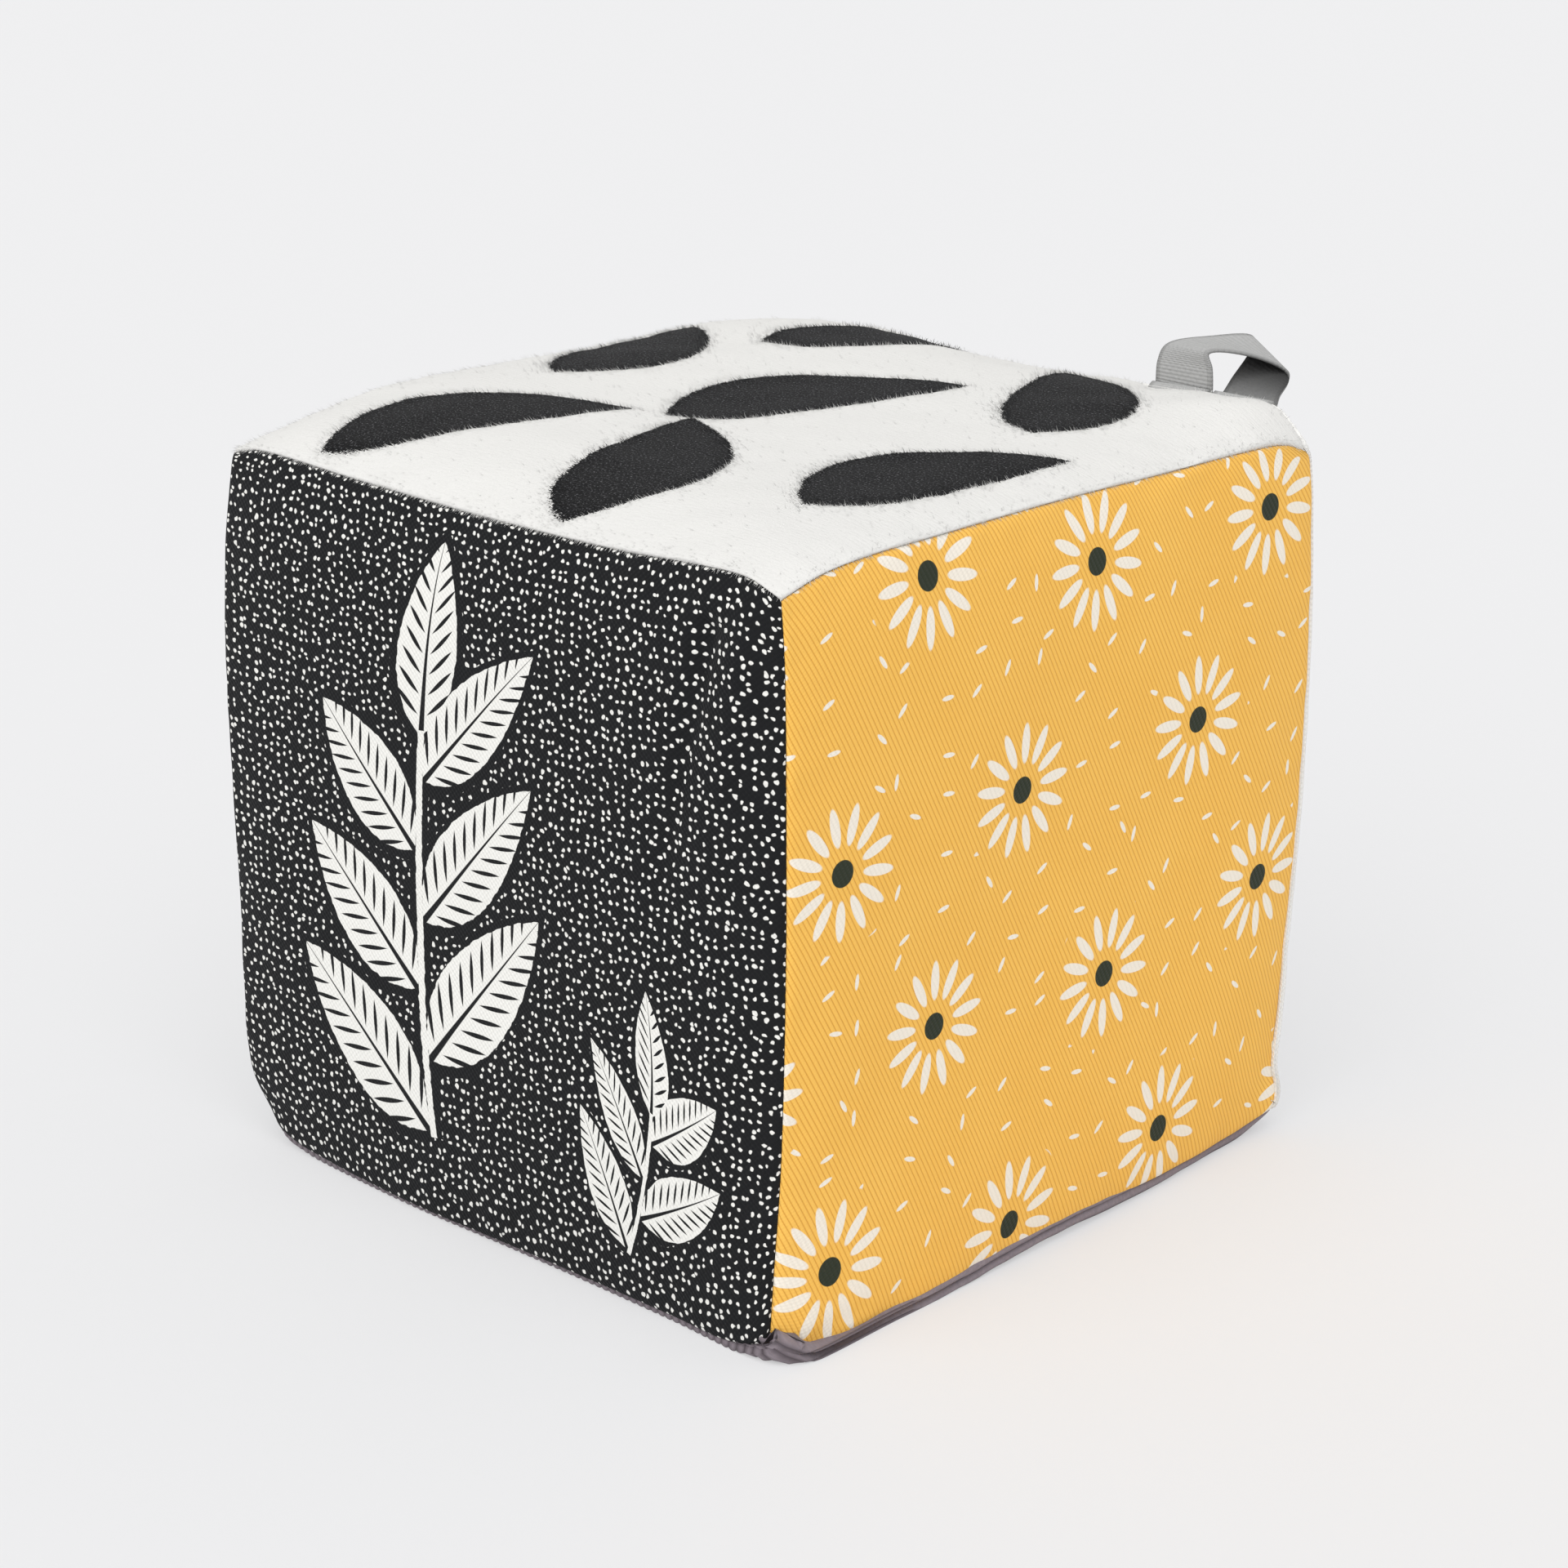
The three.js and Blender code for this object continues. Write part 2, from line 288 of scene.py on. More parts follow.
# How far a cloth rolls out, in millimetres: past its low and its high side across, then past its
# low and its high side up, each at the two ends of that side.
ROLLS = {
    "top": (((0.8, 0.8), (0.8, 0.8)), ((1.0, 1.0), (0.8, 0.8))),
    "back": (((1.0, 1.0), (1.8, 0.7)), ((1.0, 1.0), (1.0, 1.0))),
    "bottom": (((0.8, 0.8), (2.5, 0.1)), ((0.3, 0.4), (0.8, 0.8))),
}
ROLL_REACH = 1.1 * MM
TOE, TOE_REACH = 2.2, 8 * MM
CELLS = 120
print("panels:", *PANELS)

# %% [markdown]
# Hand-sewn seams aren't straight. Foam pushes them out along their length, and at the corners,
# where three cloths meet, the bulky allowances pull them in. So each corner gets a small shift,
# and each seam gets a few along its length, in millimetres. They are judged from the photograph,
# and a smooth curve runs through them. The sides that it doesn't show get plain ones.

# %% How the corners and seams stray
CORNER_SHIFTS = {
    (1, -1, 1): (0.0, 0.0, -2.0),
    (1, -1, -1): (-1.6, -0.5, 0.9),
    (-1, -1, 1): (-0.8, 0.0, -3.2),
    (-1, -1, -1): (3.2, 0.4, 1.4),
    (1, 1, 1): (0.3, 1.0, -3.6),
    (1, 1, -1): (0.0, 0.2, 0.0),
    (-1, 1, 1): (0.8, -0.8, -2.5),
    (-1, 1, -1): (1.2, -1.2, 1.5),
}
# A seam is named by its sides in X, Y and Z, with 0 for the axis that it runs along. Each row is a
# share along it from -1 to 1, and then its shifts along the two other axes.
SEAM_SHIFTS = {
    # Front and top
    (0, -1, 1): [
        (-0.9, 0.0, -1.5), (-0.5, -0.3, -1.7), (0.0, -0.5, -1.8), (0.45, -0.5, -1.0),
        (0.75, -0.5, 0.4), (0.9, -0.3, 0.3),
    ],
    # Right and top
    (1, 0, 1): [
        (-0.85, 0.2, 0.4), (-0.68, 0.4, 1.2), (-0.5, 0.5, 1.2), (0.0, 0.6, 1.0), (0.4, 0.5, 0.2),
        (0.75, 0.4, -0.4), (0.92, 0.3, -1.3),
    ],
    # Front and right
    (1, -1, 0): [
        (-0.82, -1.0, -0.3), (-0.5, 0.6, -0.3), (0.0, 1.5, -0.3), (0.4, 1.5, -0.3),
        (0.77, 0.9, 0.0),
    ],
    # Front and left
    (-1, -1, 0): [
        (-0.85, -2.4, -0.3), (-0.65, -3.5, -0.5), (-0.4, -3.3, -0.7), (0.0, -4.3, -0.6),
        (0.4, -4.7, -0.6), (0.68, -3.7, -0.5), (0.9, -1.8, 0.0),
    ],
    # Right and back
    (1, 1, 0): [
        (-0.94, 0.0, 0.8), (-0.85, 0.0, -0.6), (-0.7, 0.0, 0.4), (-0.5, 0.0, 1.4),
        (-0.15, 0.3, 3.3), (0.25, 0.3, 4.4), (0.6, 0.3, 4.3), (0.9, 0.0, 3.2),
    ],
    # Right and bottom
    (1, 0, -1): [
        (-0.9, 1.6, -3.2), (-0.6, 2.2, -3.1), (-0.35, 2.3, -2.4), (-0.05, 2.2, -1.4),
        (0.2, 2.2, -1.3), (0.5, 1.4, -1.9), (0.83, -0.2, -1.6),
    ],
    # Front and bottom
    (0, -1, -1): [
        (-0.9, 0.0, -1.6), (-0.75, -0.9, -2.8), (-0.34, -2.1, -3.3), (0.0, -1.7, -3.3),
        (0.3, -1.6, -3.2), (0.66, -1.8, -3.0), (0.84, -2.1, -2.9), (0.95, -1.5, -1.3),
    ],
    # Left and top
    (-1, 0, 1): [
        (-0.5, -1.0, 1.4), (-0.1, -0.8, 1.2), (0.3, -0.5, -0.2), (0.7, -0.3, -0.4),
    ],
    # Back and top
    (0, 1, 1): [
        (-0.6, 0.5, 0.8), (-0.2, 0.4, 0.3), (0.1, 0.4, 0.3), (0.45, 0.6, 1.9), (0.7, 0.7, 2.7),
        (0.9, 0.8, 2.7),
    ],
    # Left and bottom, back and bottom, back and left
    (-1, 0, -1): [(-0.5, -1.0, -0.4), (0.5, -1.2, -0.6)],
    (0, 1, -1): [(-0.5, 1.2, -0.5), (0.5, 0.9, -0.3)],
    (-1, 1, 0): [(-0.5, -1.3, 1.0), (0.5, -1.0, 1.4)],
}
EDGE_POWER = 5


def through(stations, share):
    """The place at a share along a smooth curve through stations, each a share and a place."""
    shares = [s for s, _ in stations]
    n = min(max(bisect.bisect_right(shares, share) - 1, 0), len(stations) - 2)

    def slope(k):
        low, high = max(k - 1, 0), min(k + 1, len(stations) - 1)
        return (stations[high][1] - stations[low][1]) / (shares[high] - shares[low])

    (start, here), (end, there) = stations[n : n + 2]
    span = end - start
    t = (share - start) / span
    rise = t * t * (3 - 2 * t)
    lean = span * (t * (1 - t) ** 2 * slope(n) - t * t * (1 - t) * slope(n + 1))
    return here * (1 - rise) + there * rise + lean


def seam_stations(signs):
    """All stations of a seam, with the corners at its ends."""
    axis = signs.index(0)
    rows = [(share, *shift[:axis], 0, *shift[axis:]) for share, *shift in SEAM_SHIFTS[signs]]
    for end in (-1, 1):
        corner = signs[:axis] + (end,) + signs[axis + 1 :]
        rows.append((end, *CORNER_SHIFTS[corner]))
    return [(share, Vector(shift) * MM) for share, *shift in sorted(rows)]


@functools.lru_cache(maxsize=None)
def stray(signs, along):
    """How far a seam is from straight, at a share along it from -1 to 1."""
    return through(seam_stations(signs), along)


def strayed(panel, u, v):
    """How far a panel's cloth is moved by its four seams. The pull fades towards its middle."""
    a, b, out = panel["spans"]
    side = {a: 1 if u > 0 else -1, b: 1 if v > 0 else -1, out: panel["sign"]}
    seam_u = tuple(0 if axis == b else side[axis] for axis in (X, Y, Z))
    seam_v = tuple(0 if axis == a else side[axis] for axis in (X, Y, Z))
    corner = Vector(CORNER_SHIFTS[side[X], side[Y], side[Z]]) * MM
    near_u, near_v = abs(u) ** EDGE_POWER, abs(v) ** EDGE_POWER
    return near_u * stray(seam_u, v) + near_v * stray(seam_v, u) - near_u * near_v * corner


print("near seam strays in mm:", [round(x / MM, 2) for x in stray((1, -1, 0), 0.2)])


# %% [markdown]
# Real cloth isn't as smooth as a formula either. It tucks into its seams, puckers a little
# between the stitches, lies unevenly over the foam, and keeps a soft crease or two from its
# making. Each of these is a small height that is added to the face.

# %% What makes a sewn face uneven
TUCK_DEPTH, TUCK_REACH = 0.45 * MM, 0.55 * MM
PUCKER_HEIGHT, PUCKER_LENGTH, PUCKER_REACH = 0.6 * MM, 6 * MM, 5 * MM
LUMP_HEIGHT, LUMP_LENGTH, LUMP_POWER = 0.55 * MM, 30 * MM, 6
LAYER_STEP = 10  # metres between the slices of noise that the panels take
# A crease runs from one point to another, both as shares across and up its panel. Then come its
# depth and its width. A negative depth is a ridge.
CREASES = {
    "front": [
        ((0.78, 0.84), (0.6, 0.0), 1.7 * MM, 2.4 * MM),
        ((0.9, 0.88), (0.76, 0.1), -1.0 * MM, 3.2 * MM),
    ],
    "right": [
        ((-0.96, 0.86), (-0.72, 0.5), 0.35 * MM, 2.2 * MM),
        ((-0.9, -0.98), (-0.6, -0.9), 0.4 * MM, 1.8 * MM),
    ],
    "top": [
        ((0.5, 0.98), (0.72, 0.78), 0.9 * MM, 4 * MM),
        ((0.97, 0.5), (0.84, 0.7), 0.8 * MM, 4 * MM),
        ((0.85, 0.85), (0.6, 0.6), -0.9 * MM, 6 * MM),
    ],
}


def to_segment(point, start, end):
    """The distance from a point to a line between two others, and how far along it is nearest."""
    run = end - start
    share = max(0, min(1, (point - start).dot(run) / run.length_squared))
    return (point - start - share * run).length, share


def crease_depth(name, u, v):
    """Creases are deepest near their start, at a corner, and fade along their run."""
    panel, depth = PANELS[name], 0
    size = Vector([HALF[axis] for axis in panel["spans"][:2]])
    for start, end, deep, wide in CREASES.get(name, []):
        ends = [Vector(p) * size for p in (start, end)]
        gap, share = to_segment(Vector((u, v)) * size, *ends)
        depth += deep * (1 - share) * math.exp(-((gap / wide) ** 2))
    return depth


def to_seam(panel, u, v):
    """The distance to the nearest seam."""
    a, b = (HALF[axis] for axis in panel["spans"][:2])
    return min((1 - abs(u)) * a, (1 - abs(v)) * b)


def tuck(distance):
    """How far the cloth is drawn in at a seam, and this far from it."""
    return TUCK_DEPTH * math.exp(-distance / TUCK_REACH)


def unevenness(name, u, v):
    """The small heights of one face, in metres."""
    panel = PANELS[name]
    a, b = (HALF[axis] for axis in panel["spans"][:2])
    distance = to_seam(panel, u, v)
    place = Vector((u * a, v * b, LAYER_STEP * list(PANELS).index(name)))
    pucker = PUCKER_HEIGHT * noise.noise(place / PUCKER_LENGTH)
    pucker = pucker * math.exp(-distance / PUCKER_REACH)
    lump = LUMP_HEIGHT * noise.noise(place / LUMP_LENGTH)
    lump = lump * (1 - u**LUMP_POWER) * (1 - v**LUMP_POWER)
    free = 1 - math.exp(-distance / MM)
    return lump + (pucker - crease_depth(name, u, v)) * free - tuck(distance)


print("middle of the front is off by mm:", round(unevenness("front", 0, 0) / MM, 3))


# %% [markdown]
# All of this comes together in one function. It gives the place of a point of a panel's cloth, at
# any depth under its outer face, so both sides of the cloth and the foam under it can use it.


# %% The place of a point of the cloth
def roll_out(name, u, v):
    """How far a cloth bulges out past its seams, across and up. It doesn't at the very corners."""
    if name not in ROLLS:
        return 0, 0
    sizes = [HALF[axis] for axis in PANELS[name]["spans"][:2]]
    gaps = [(1 - abs(share)) * size / ROLL_REACH for share, size in zip((u, v), sizes)]
    to_toe = (1 - u) * sizes[0] + (1 + v) * sizes[1]
    toe = TOE * math.exp(-to_toe / TOE_REACH) if name == "bottom" else 0
    bulges = []
    for share, along, gap, beside, sides in zip((u, v), (v, u), gaps, gaps[::-1], ROLLS[name]):
        low, high = sides[share > 0]
        amount = (low + (high - low) * (along + 1) / 2 + toe) * MM
        bulge = amount * gap * math.exp(1 - gap) * (1 - math.exp(-beside))
        bulges.append(math.copysign(bulge, share))
    return bulges


def cloth_point(name, u, v, depth=0.0):
    """The place of a panel's cloth. u and v run from -1 to 1 across and up it."""
    panel = PANELS[name]
    a, b, out = panel["spans"]
    spot = MIDDLE.copy()
    for axis, share, rolled in zip((a, b), (u, v), roll_out(name, u, v)):
        drawn_in = math.copysign(tuck((1 - abs(share)) * HALF[axis]), share)
        spot[axis] += share * (HALF[axis] - EDGE_INSET) - drawn_in + rolled
    swell = panel["crown"] * MM * (1 - abs(u) ** panel["power"]) * (1 - abs(v) ** panel["power"])
    spot[out] += panel["sign"] * (HALF[out] + swell + unevenness(name, u, v) - depth)
    spot += strayed(panel, u, v)
    spot.z = max(spot.z, depth if name == "bottom" else 0)
    return spot


print("middle of the top:", [round(x / MM, 2) for x in cloth_point("top", 0, 0)])


# %% [markdown]
# A panel could be one thin surface, but then its edge would show as paper. So it is a closed
# shell, as the cut cloth is: a grid for the outer face, a grid for the inner one, each extruded
# once at its edge to fold the seam allowance in along the diagonal, and a bridge between the two
# rims. Towards each corner the allowance is clipped away, as a sewer does to turn the corner out.
# The vertices near the edges lie closer together, because the cloth bends most there.


# %% Building a panel
CLIPPED_SHARE = 0.1
EVEN_SHARE, CROWDED_SHARE = 0.35, 0.65
ON_EDGE = 0.9999


def spread(w):
    """Moves an even grid line from -1 to 1 so that the lines crowd towards both edges."""
    return EVEN_SHARE * w + CROWDED_SHARE * math.sin(w * math.pi / 2)


def end_of(share):
    """-1 or 1 on an edge, and 0 between the edges."""
    return math.copysign(1, share) if abs(share) > ON_EDGE else 0


def layer_of_cloth(bm, flat, panel, cells, place_of, tip_depth):
    """Adds one layer of a panel's cloth with its folded-in allowance."""
    a, b, out = panel["spans"]
    before = set(bm.verts)
    bmesh.ops.create_grid(bm, x_segments=cells[0], y_segments=cells[1], size=1)
    for vert in (v for v in bm.verts if v not in before):
        vert[flat] = Vector((spread(vert.co.x), spread(vert.co.y), 0))
        vert.co = place_of(*vert[flat].xy)
    rim = [e for e in bm.edges if e.is_boundary and e.verts[0] not in before]
    folded = bmesh.ops.extrude_edge_only(bm, edges=rim)["geom"]
    for vert in (g for g in folded if isinstance(g, bmesh.types.BMVert)):
        s, t = end_of(vert[flat].x), end_of(vert[flat].y)
        to_corner = max((1 - abs(vert[flat].x)) * HALF[a], (1 - abs(vert[flat].y)) * HALF[b])
        kept = min(1, CLIPPED_SHARE + to_corner / ALLOWANCE)
        vert.co[a] -= s * tip_depth * kept
        vert.co[b] -= t * tip_depth * kept
        vert.co[out] -= panel["sign"] * tip_depth * kept
        cut = ALLOWANCE * kept
        vert[flat] += Vector((s * cut / HALF[a], t * cut / HALF[b], 0))


def panel_mesh(name, cells=(CELLS, CELLS), relief=None):
    """The whole panel. relief is a cloth's own depth below its outer face."""
    panel = PANELS[name]
    thick, ply = panel["thick"] * MM, panel["ply"] * MM
    fold = thick + math.sqrt(2) * ply
    sizes = [HALF[axis] for axis in panel["spans"]]

    def outer(u, v):
        return cloth_point(name, u, v, relief(u, v) if relief else 0)

    def inner(u, v):
        u, v = (w * (1 - fold / size) if end_of(w) else w for w, size in zip((u, v), sizes))
        return cloth_point(name, u, v, thick + (relief(u, v) if relief else 0))

    bm = bmesh.new()
    flat = bm.verts.layers.float_vector.new("cloth")
    tip = ALLOWANCE / math.sqrt(2)
    layer_of_cloth(bm, flat, panel, cells, outer, tip)
    layer_of_cloth(bm, flat, panel, cells, inner, tip - ply / math.sqrt(2))
    bmesh.ops.bridge_loops(bm, edges=[e for e in bm.edges if e.is_boundary])
    bmesh.ops.recalc_face_normals(bm, faces=bm.faces)
    for vert in bm.verts:
        vert[flat] = Vector((vert[flat].x * sizes[0], vert[flat].y * sizes[1], 0)) / MM
    return mesh_of(bm, name + "_cloth", smooth=True)


def show(name, mesh, material):
    """Puts a finished mesh into the scene as a piece with its material."""
    piece = put(name, mesh)
    mesh.materials.append(material)
    print(name, "faces:", len(mesh.polygons))
    return piece


# %% [markdown]
# A print or a weave has to follow the cloth, so every mesh carries the attribute "cloth": where
# each point lies on the flat cloth, in millimetres from its middle. Patterns below are then
# written at their real sizes. A soft mask turns a distance into ink: 1 inside, 0 outside.


# %% Patterns in millimetres
THREAD_SPACING = 0.5  # real threads lie 0.3 mm apart, which is too fine to show
INK_EDGE = 0.07


def on_cloth(tree):
    """The place on the flat cloth, in millimetres."""
    return add(tree, "Attribute", attribute_name="cloth").node.outputs["Vector"]


def mask_below(tree, value, limit, softness):
    """1 where a value is below its limit, 0 above it, and a soft step between."""
    limits = [value, None, None, 1.0, 0.0]
    mask = add(tree, "MapRange", limits, interpolation_type="SMOOTHSTEP").node
    for socket, offset in (("From Min", -softness), ("From Max", softness)):
        if isinstance(limit, bpy.types.NodeSocket):
            moved = add(tree, "Math", [limit, offset], "ADD")
            tree.links.new(moved, mask.inputs[socket])
        else:
            mask.inputs[socket].default_value = limit + offset
    return mask.outputs["Result"]


def cell_of(tree, value, pitch):
    """Which cell of this pitch a value is in, and how far into it."""
    cell = add(tree, "Math", [value, 1 / pitch], "MULTIPLY")
    cell = add(tree, "Math", [cell], "FLOOR")
    return cell, add(tree, "Math", [cell, -pitch, value], "MULTIPLY_ADD")


def nearer_of(tree, first, second):
    """The nearer of two shapes, each a distance outside it and the strokes cut in it."""
    (gap, stroke), (other_gap, other_stroke) = first, second
    nearer = add(tree, "Math", [other_gap, gap], "LESS_THAN")
    stroke = add(tree, "Mix", [nearer, stroke, other_stroke], data_type="FLOAT")
    return add(tree, "Math", [gap, other_gap], "MINIMUM"), stroke


def plain_weave(tree, place, spacing=THREAD_SPACING):
    """The height of a plain weave, where each thread goes over one and under the next."""
    along, up = add(tree, "SeparateXYZ", [place]).node.outputs[:2]
    waves = []
    for thread in (along, up):
        turns = add(tree, "Math", [thread, math.pi / spacing], "MULTIPLY")
        waves.append(add(tree, "Math", [turns], "SINE"))
    return add(tree, "Math", waves, "MULTIPLY")


def fabric(name, paint, bump, roughness, sheen, tint="#FFFFFF", flat=True):
    """A soft material. paint gives its colour and its height at a place, flat or in space."""
    material, tree = new_material(name)
    place = on_cloth(tree) if flat else add(tree, "TexCoord").node.outputs["Object"]
    colour, height = paint(tree, place)
    relief = {"Height": height, "Strength": 1.0, "Distance": bump * MM}
    finish = {
        "Base Color": colour,
        "Roughness": roughness,
        "Normal": add(tree, "Bump", relief),
        "Specular IOR Level": 0.2,
        "Sheen Weight": sheen,
        "Sheen Roughness": 0.5,
        "Sheen Tint": tint,
    }
    add(tree, "OutputMaterial", [add(tree, "BsdfPrincipled", finish)])
    print(name, "nodes:", len(tree.nodes))
    return material


# %% [markdown]
# ## The front: printed black cotton
# Plain woven cotton, dyed black and screen printed in white. The ink covers it with a scatter of
# small uneven dots, and with a leafy spray cut in the manner of a linocut: white leaves with
# tapered black strokes in them, and a bare black margin round them. A Voronoi texture scatters
# the dots. The spray repeats one leaf along a bent stem, so a few formulas draw all its leaves.

# %% Dots
DOT_SPACING, DOT_RADIUS = 1.74, 0.34
DOT_VARIETY, DOT_WANDER, DOT_SCATTER = 0.06, 0.9, 0.66


def dots(tree, place):
    """Small uneven dots of ink, a little under 2 mm apart."""
    wobble = add(tree, "TexNoise", {"Vector": place, "Scale": 0.8, "Detail": 1.0}).node
    wobble = add(tree, "VectorMath", [wobble.outputs["Color"], (0.5, 0.5, 0.5)], "SUBTRACT")
    wander = (DOT_WANDER, DOT_WANDER, 0)
    moved = add(tree, "VectorMath", [wobble, wander, place], "MULTIPLY_ADD")
    scattered = {"Vector": moved, "Scale": 1 / DOT_SPACING, "Randomness": DOT_SCATTER}
    cells = add(tree, "TexVoronoi", scattered, voronoi_dimensions="2D").node
    chosen = add(tree, "SeparateColor", [cells.outputs["Color"]])
    least = DOT_RADIUS / DOT_SPACING - DOT_VARIETY / 2
    radius = add(tree, "Math", [chosen, DOT_VARIETY, least], "MULTIPLY_ADD")
    return mask_below(tree, cells.outputs["Distance"], radius, INK_EDGE / DOT_SPACING)


print("dots on the front: about", round(4 * HALF.x * HALF.z / (DOT_SPACING * MM) ** 2))


# %% One leaf, pointed at both ends
LEAF_TAPER = 0.6
VEIN_SPACING, VEIN_SLANT, VEIN_HALF_WIDTH = 3.6, 0.9, 0.55
VEIN_BELLY, VEIN_THINNING = (2.4, -1.15), 0.75
RIB_HALF_WIDTH, RIB_THINNING = 0.28, 0.45


def arc_radius(length, half_width):
    """The radius of the two arcs that a pointed leaf lies between."""
    return (length**2 / 4 + half_width**2) / (2 * half_width)


def vesica(tree, along, across, length, half_width):
    """How far a point lies outside a pointed leaf, given its place along and across it."""
    radius = arc_radius(length, half_width)
    from_axis = add(tree, "Math", [across], "ABSOLUTE")
    from_centre = add(tree, "Math", [from_axis, radius - half_width], "ADD")
    arm = add(tree, "CombineXYZ", [along, from_centre, 0.0])
    reach = add(tree, "VectorMath", [arm], "LENGTH").node.outputs["Value"]
    return add(tree, "Math", [reach, radius], "SUBTRACT")


def leaf(tree, along, across, length, half_width):
    """How far a point is outside a leaf, and the dark strokes cut in it: a rib and side veins.

    A vein is widest halfway between the rib and the rim, and runs out at both.
    """
    taper = add(tree, "Math", [along, LEAF_TAPER / length, 1.0], "MULTIPLY_ADD")
    wide = add(tree, "Math", [across, taper], "MULTIPLY")
    shape = vesica(tree, along, wide, length, half_width)
    share = add(tree, "Math", [wide], "ABSOLUTE")
    share = add(tree, "Math", [share, 1 / half_width], "MULTIPLY")
    vein = add(tree, "Math", [share, -half_width * VEIN_SLANT, along], "MULTIPLY_ADD")
    vein = add(tree, "Math", [vein, VEIN_SPACING / 2], "PINGPONG")
    centred = add(tree, "Math", [share, *VEIN_BELLY], "MULTIPLY_ADD")
    belly = add(tree, "Math", [centred, centred], "MULTIPLY")
    thick = add(tree, "Math", [belly, -VEIN_THINNING, VEIN_HALF_WIDTH], "MULTIPLY_ADD")
    side = mask_below(tree, vein, thick, INK_EDGE)
    thin = add(tree, "Math", [along, -RIB_THINNING / length, RIB_HALF_WIDTH], "MULTIPLY_ADD")
    from_rib = add(tree, "Math", [share, half_width], "MULTIPLY")
    rib = mask_below(tree, from_rib, thin, INK_EDGE)
    return shape, add(tree, "Math", [side, rib], "MAXIMUM")


print("arcs of a leaf of 41 mm:", round(arc_radius(41, 8.4), 1), "mm in radius")


# %% Leaves on a stem
LEAF_PITCH, LEAF_LENGTH, LEAF_HALF_WIDTH = 25.0, 41.0, 8.4
LEAF_STALK, LEAF_SHRINKING = 1.5, 0.09
TIP_PITCH, TIP_SIZE = 0.55, 0.85
STEM_HALF_WIDTH, STEM_SHORTFALL = 0.8, 0.4
FAR = 50.0
# Each spray: where it stands, its lean, its size, its pairs of leaves and the bend of its stem.
SPRAYS = (
    ((-14.0, -50.0), math.radians(7), 1.0, 3, 0.0016),
    ((33.0, -56.0), math.radians(-24), 0.55, 2, -0.004),
)


def spray(tree, place, foot, turn, size, pairs, bend):
    """A stem with pairs of leaves and one at its tip, as a distance outside it and its strokes."""
    root2 = math.sqrt(2)
    laid = {"Vector": place, "Location": (*foot, 0), "Rotation": (0, 0, turn)}
    own = add(tree, "Mapping", {**laid, "Scale": (size,) * 3}, vector_type="TEXTURE")
    x, y = add(tree, "SeparateXYZ", [own]).node.outputs[:2]
    bow = add(tree, "Math", [y, y], "MULTIPLY")
    x = add(tree, "Math", [bow, -bend, x], "MULTIPLY_ADD")
    from_stem = add(tree, "Math", [x], "ABSOLUTE")

    left = add(tree, "Math", [x, 0.0], "LESS_THAN")
    sheared = add(tree, "Math", [y, from_stem], "SUBTRACT")
    sheared = add(tree, "Math", [left, LEAF_PITCH / 2, sheared], "MULTIPLY_ADD")
    cell, offset = cell_of(tree, sheared, LEAF_PITCH)
    offset = add(tree, "Math", [offset, -LEAF_PITCH / 2], "ADD")
    across = add(tree, "Math", [offset, 1 / root2], "MULTIPLY")
    along = add(tree, "Math", [from_stem, root2, across], "MULTIPLY_ADD")
    smaller = add(tree, "Math", [cell, LEAF_SHRINKING, 1.0], "MULTIPLY_ADD")
    along = add(tree, "Math", [along, smaller], "MULTIPLY")
    along = add(tree, "Math", [along, -LEAF_LENGTH / 2 - LEAF_STALK], "ADD")
    across = add(tree, "Math", [across, smaller], "MULTIPLY")
    shape, stroke = leaf(tree, along, across, LEAF_LENGTH, LEAF_HALF_WIDTH)
    under = add(tree, "Math", [cell, -0.5], "LESS_THAN")
    over = add(tree, "Math", [cell, pairs - 0.5], "GREATER_THAN")
    missing = add(tree, "Math", [under, over], "MAXIMUM")
    shape = add(tree, "Math", [missing, FAR, shape], "MULTIPLY_ADD")

    length = (pairs + TIP_PITCH) * LEAF_PITCH
    tip_along = add(tree, "Math", [y, -length], "ADD")
    tip = leaf(tree, tip_along, x, LEAF_LENGTH * TIP_SIZE, LEAF_HALF_WIDTH * TIP_SIZE)
    shape, stroke = nearer_of(tree, (shape, stroke), tip)

    beyond = add(tree, "Math", [y, length - LEAF_LENGTH * STEM_SHORTFALL], "GREATER_THAN")
    before = add(tree, "Math", [y, 0.0], "LESS_THAN")
    outside = add(tree, "Math", [beyond, before], "MAXIMUM")
    stem = add(tree, "Math", [outside, FAR, from_stem], "MULTIPLY_ADD")
    stem = add(tree, "Math", [stem, -STEM_HALF_WIDTH], "ADD")
    on_stem = add(tree, "Math", [stem, 0.0], "GREATER_THAN")
    stroke = add(tree, "Math", [stroke, on_stem], "MULTIPLY")
    return add(tree, "Math", [shape, stem], "MINIMUM"), stroke


print("sprays:", len(SPRAYS))


# %% Black cotton with its print
MARGIN = 1.6
ROUGHNESS_OF_CUT = 0.9


def linocut(tree, place):
    """Two sprays, one large and one small, with rough cut edges."""
    rough = add(tree, "TexNoise", {"Vector": place, "Scale": 0.5, "Detail": 2.0})
    centre = -ROUGHNESS_OF_CUT / 2
    ragged = add(tree, "Math", [rough, ROUGHNESS_OF_CUT, centre], "MULTIPLY_ADD")
    shape, stroke = nearer_of(tree, *(spray(tree, place, *row) for row in SPRAYS))
    return add(tree, "Math", [shape, ragged], "ADD"), stroke


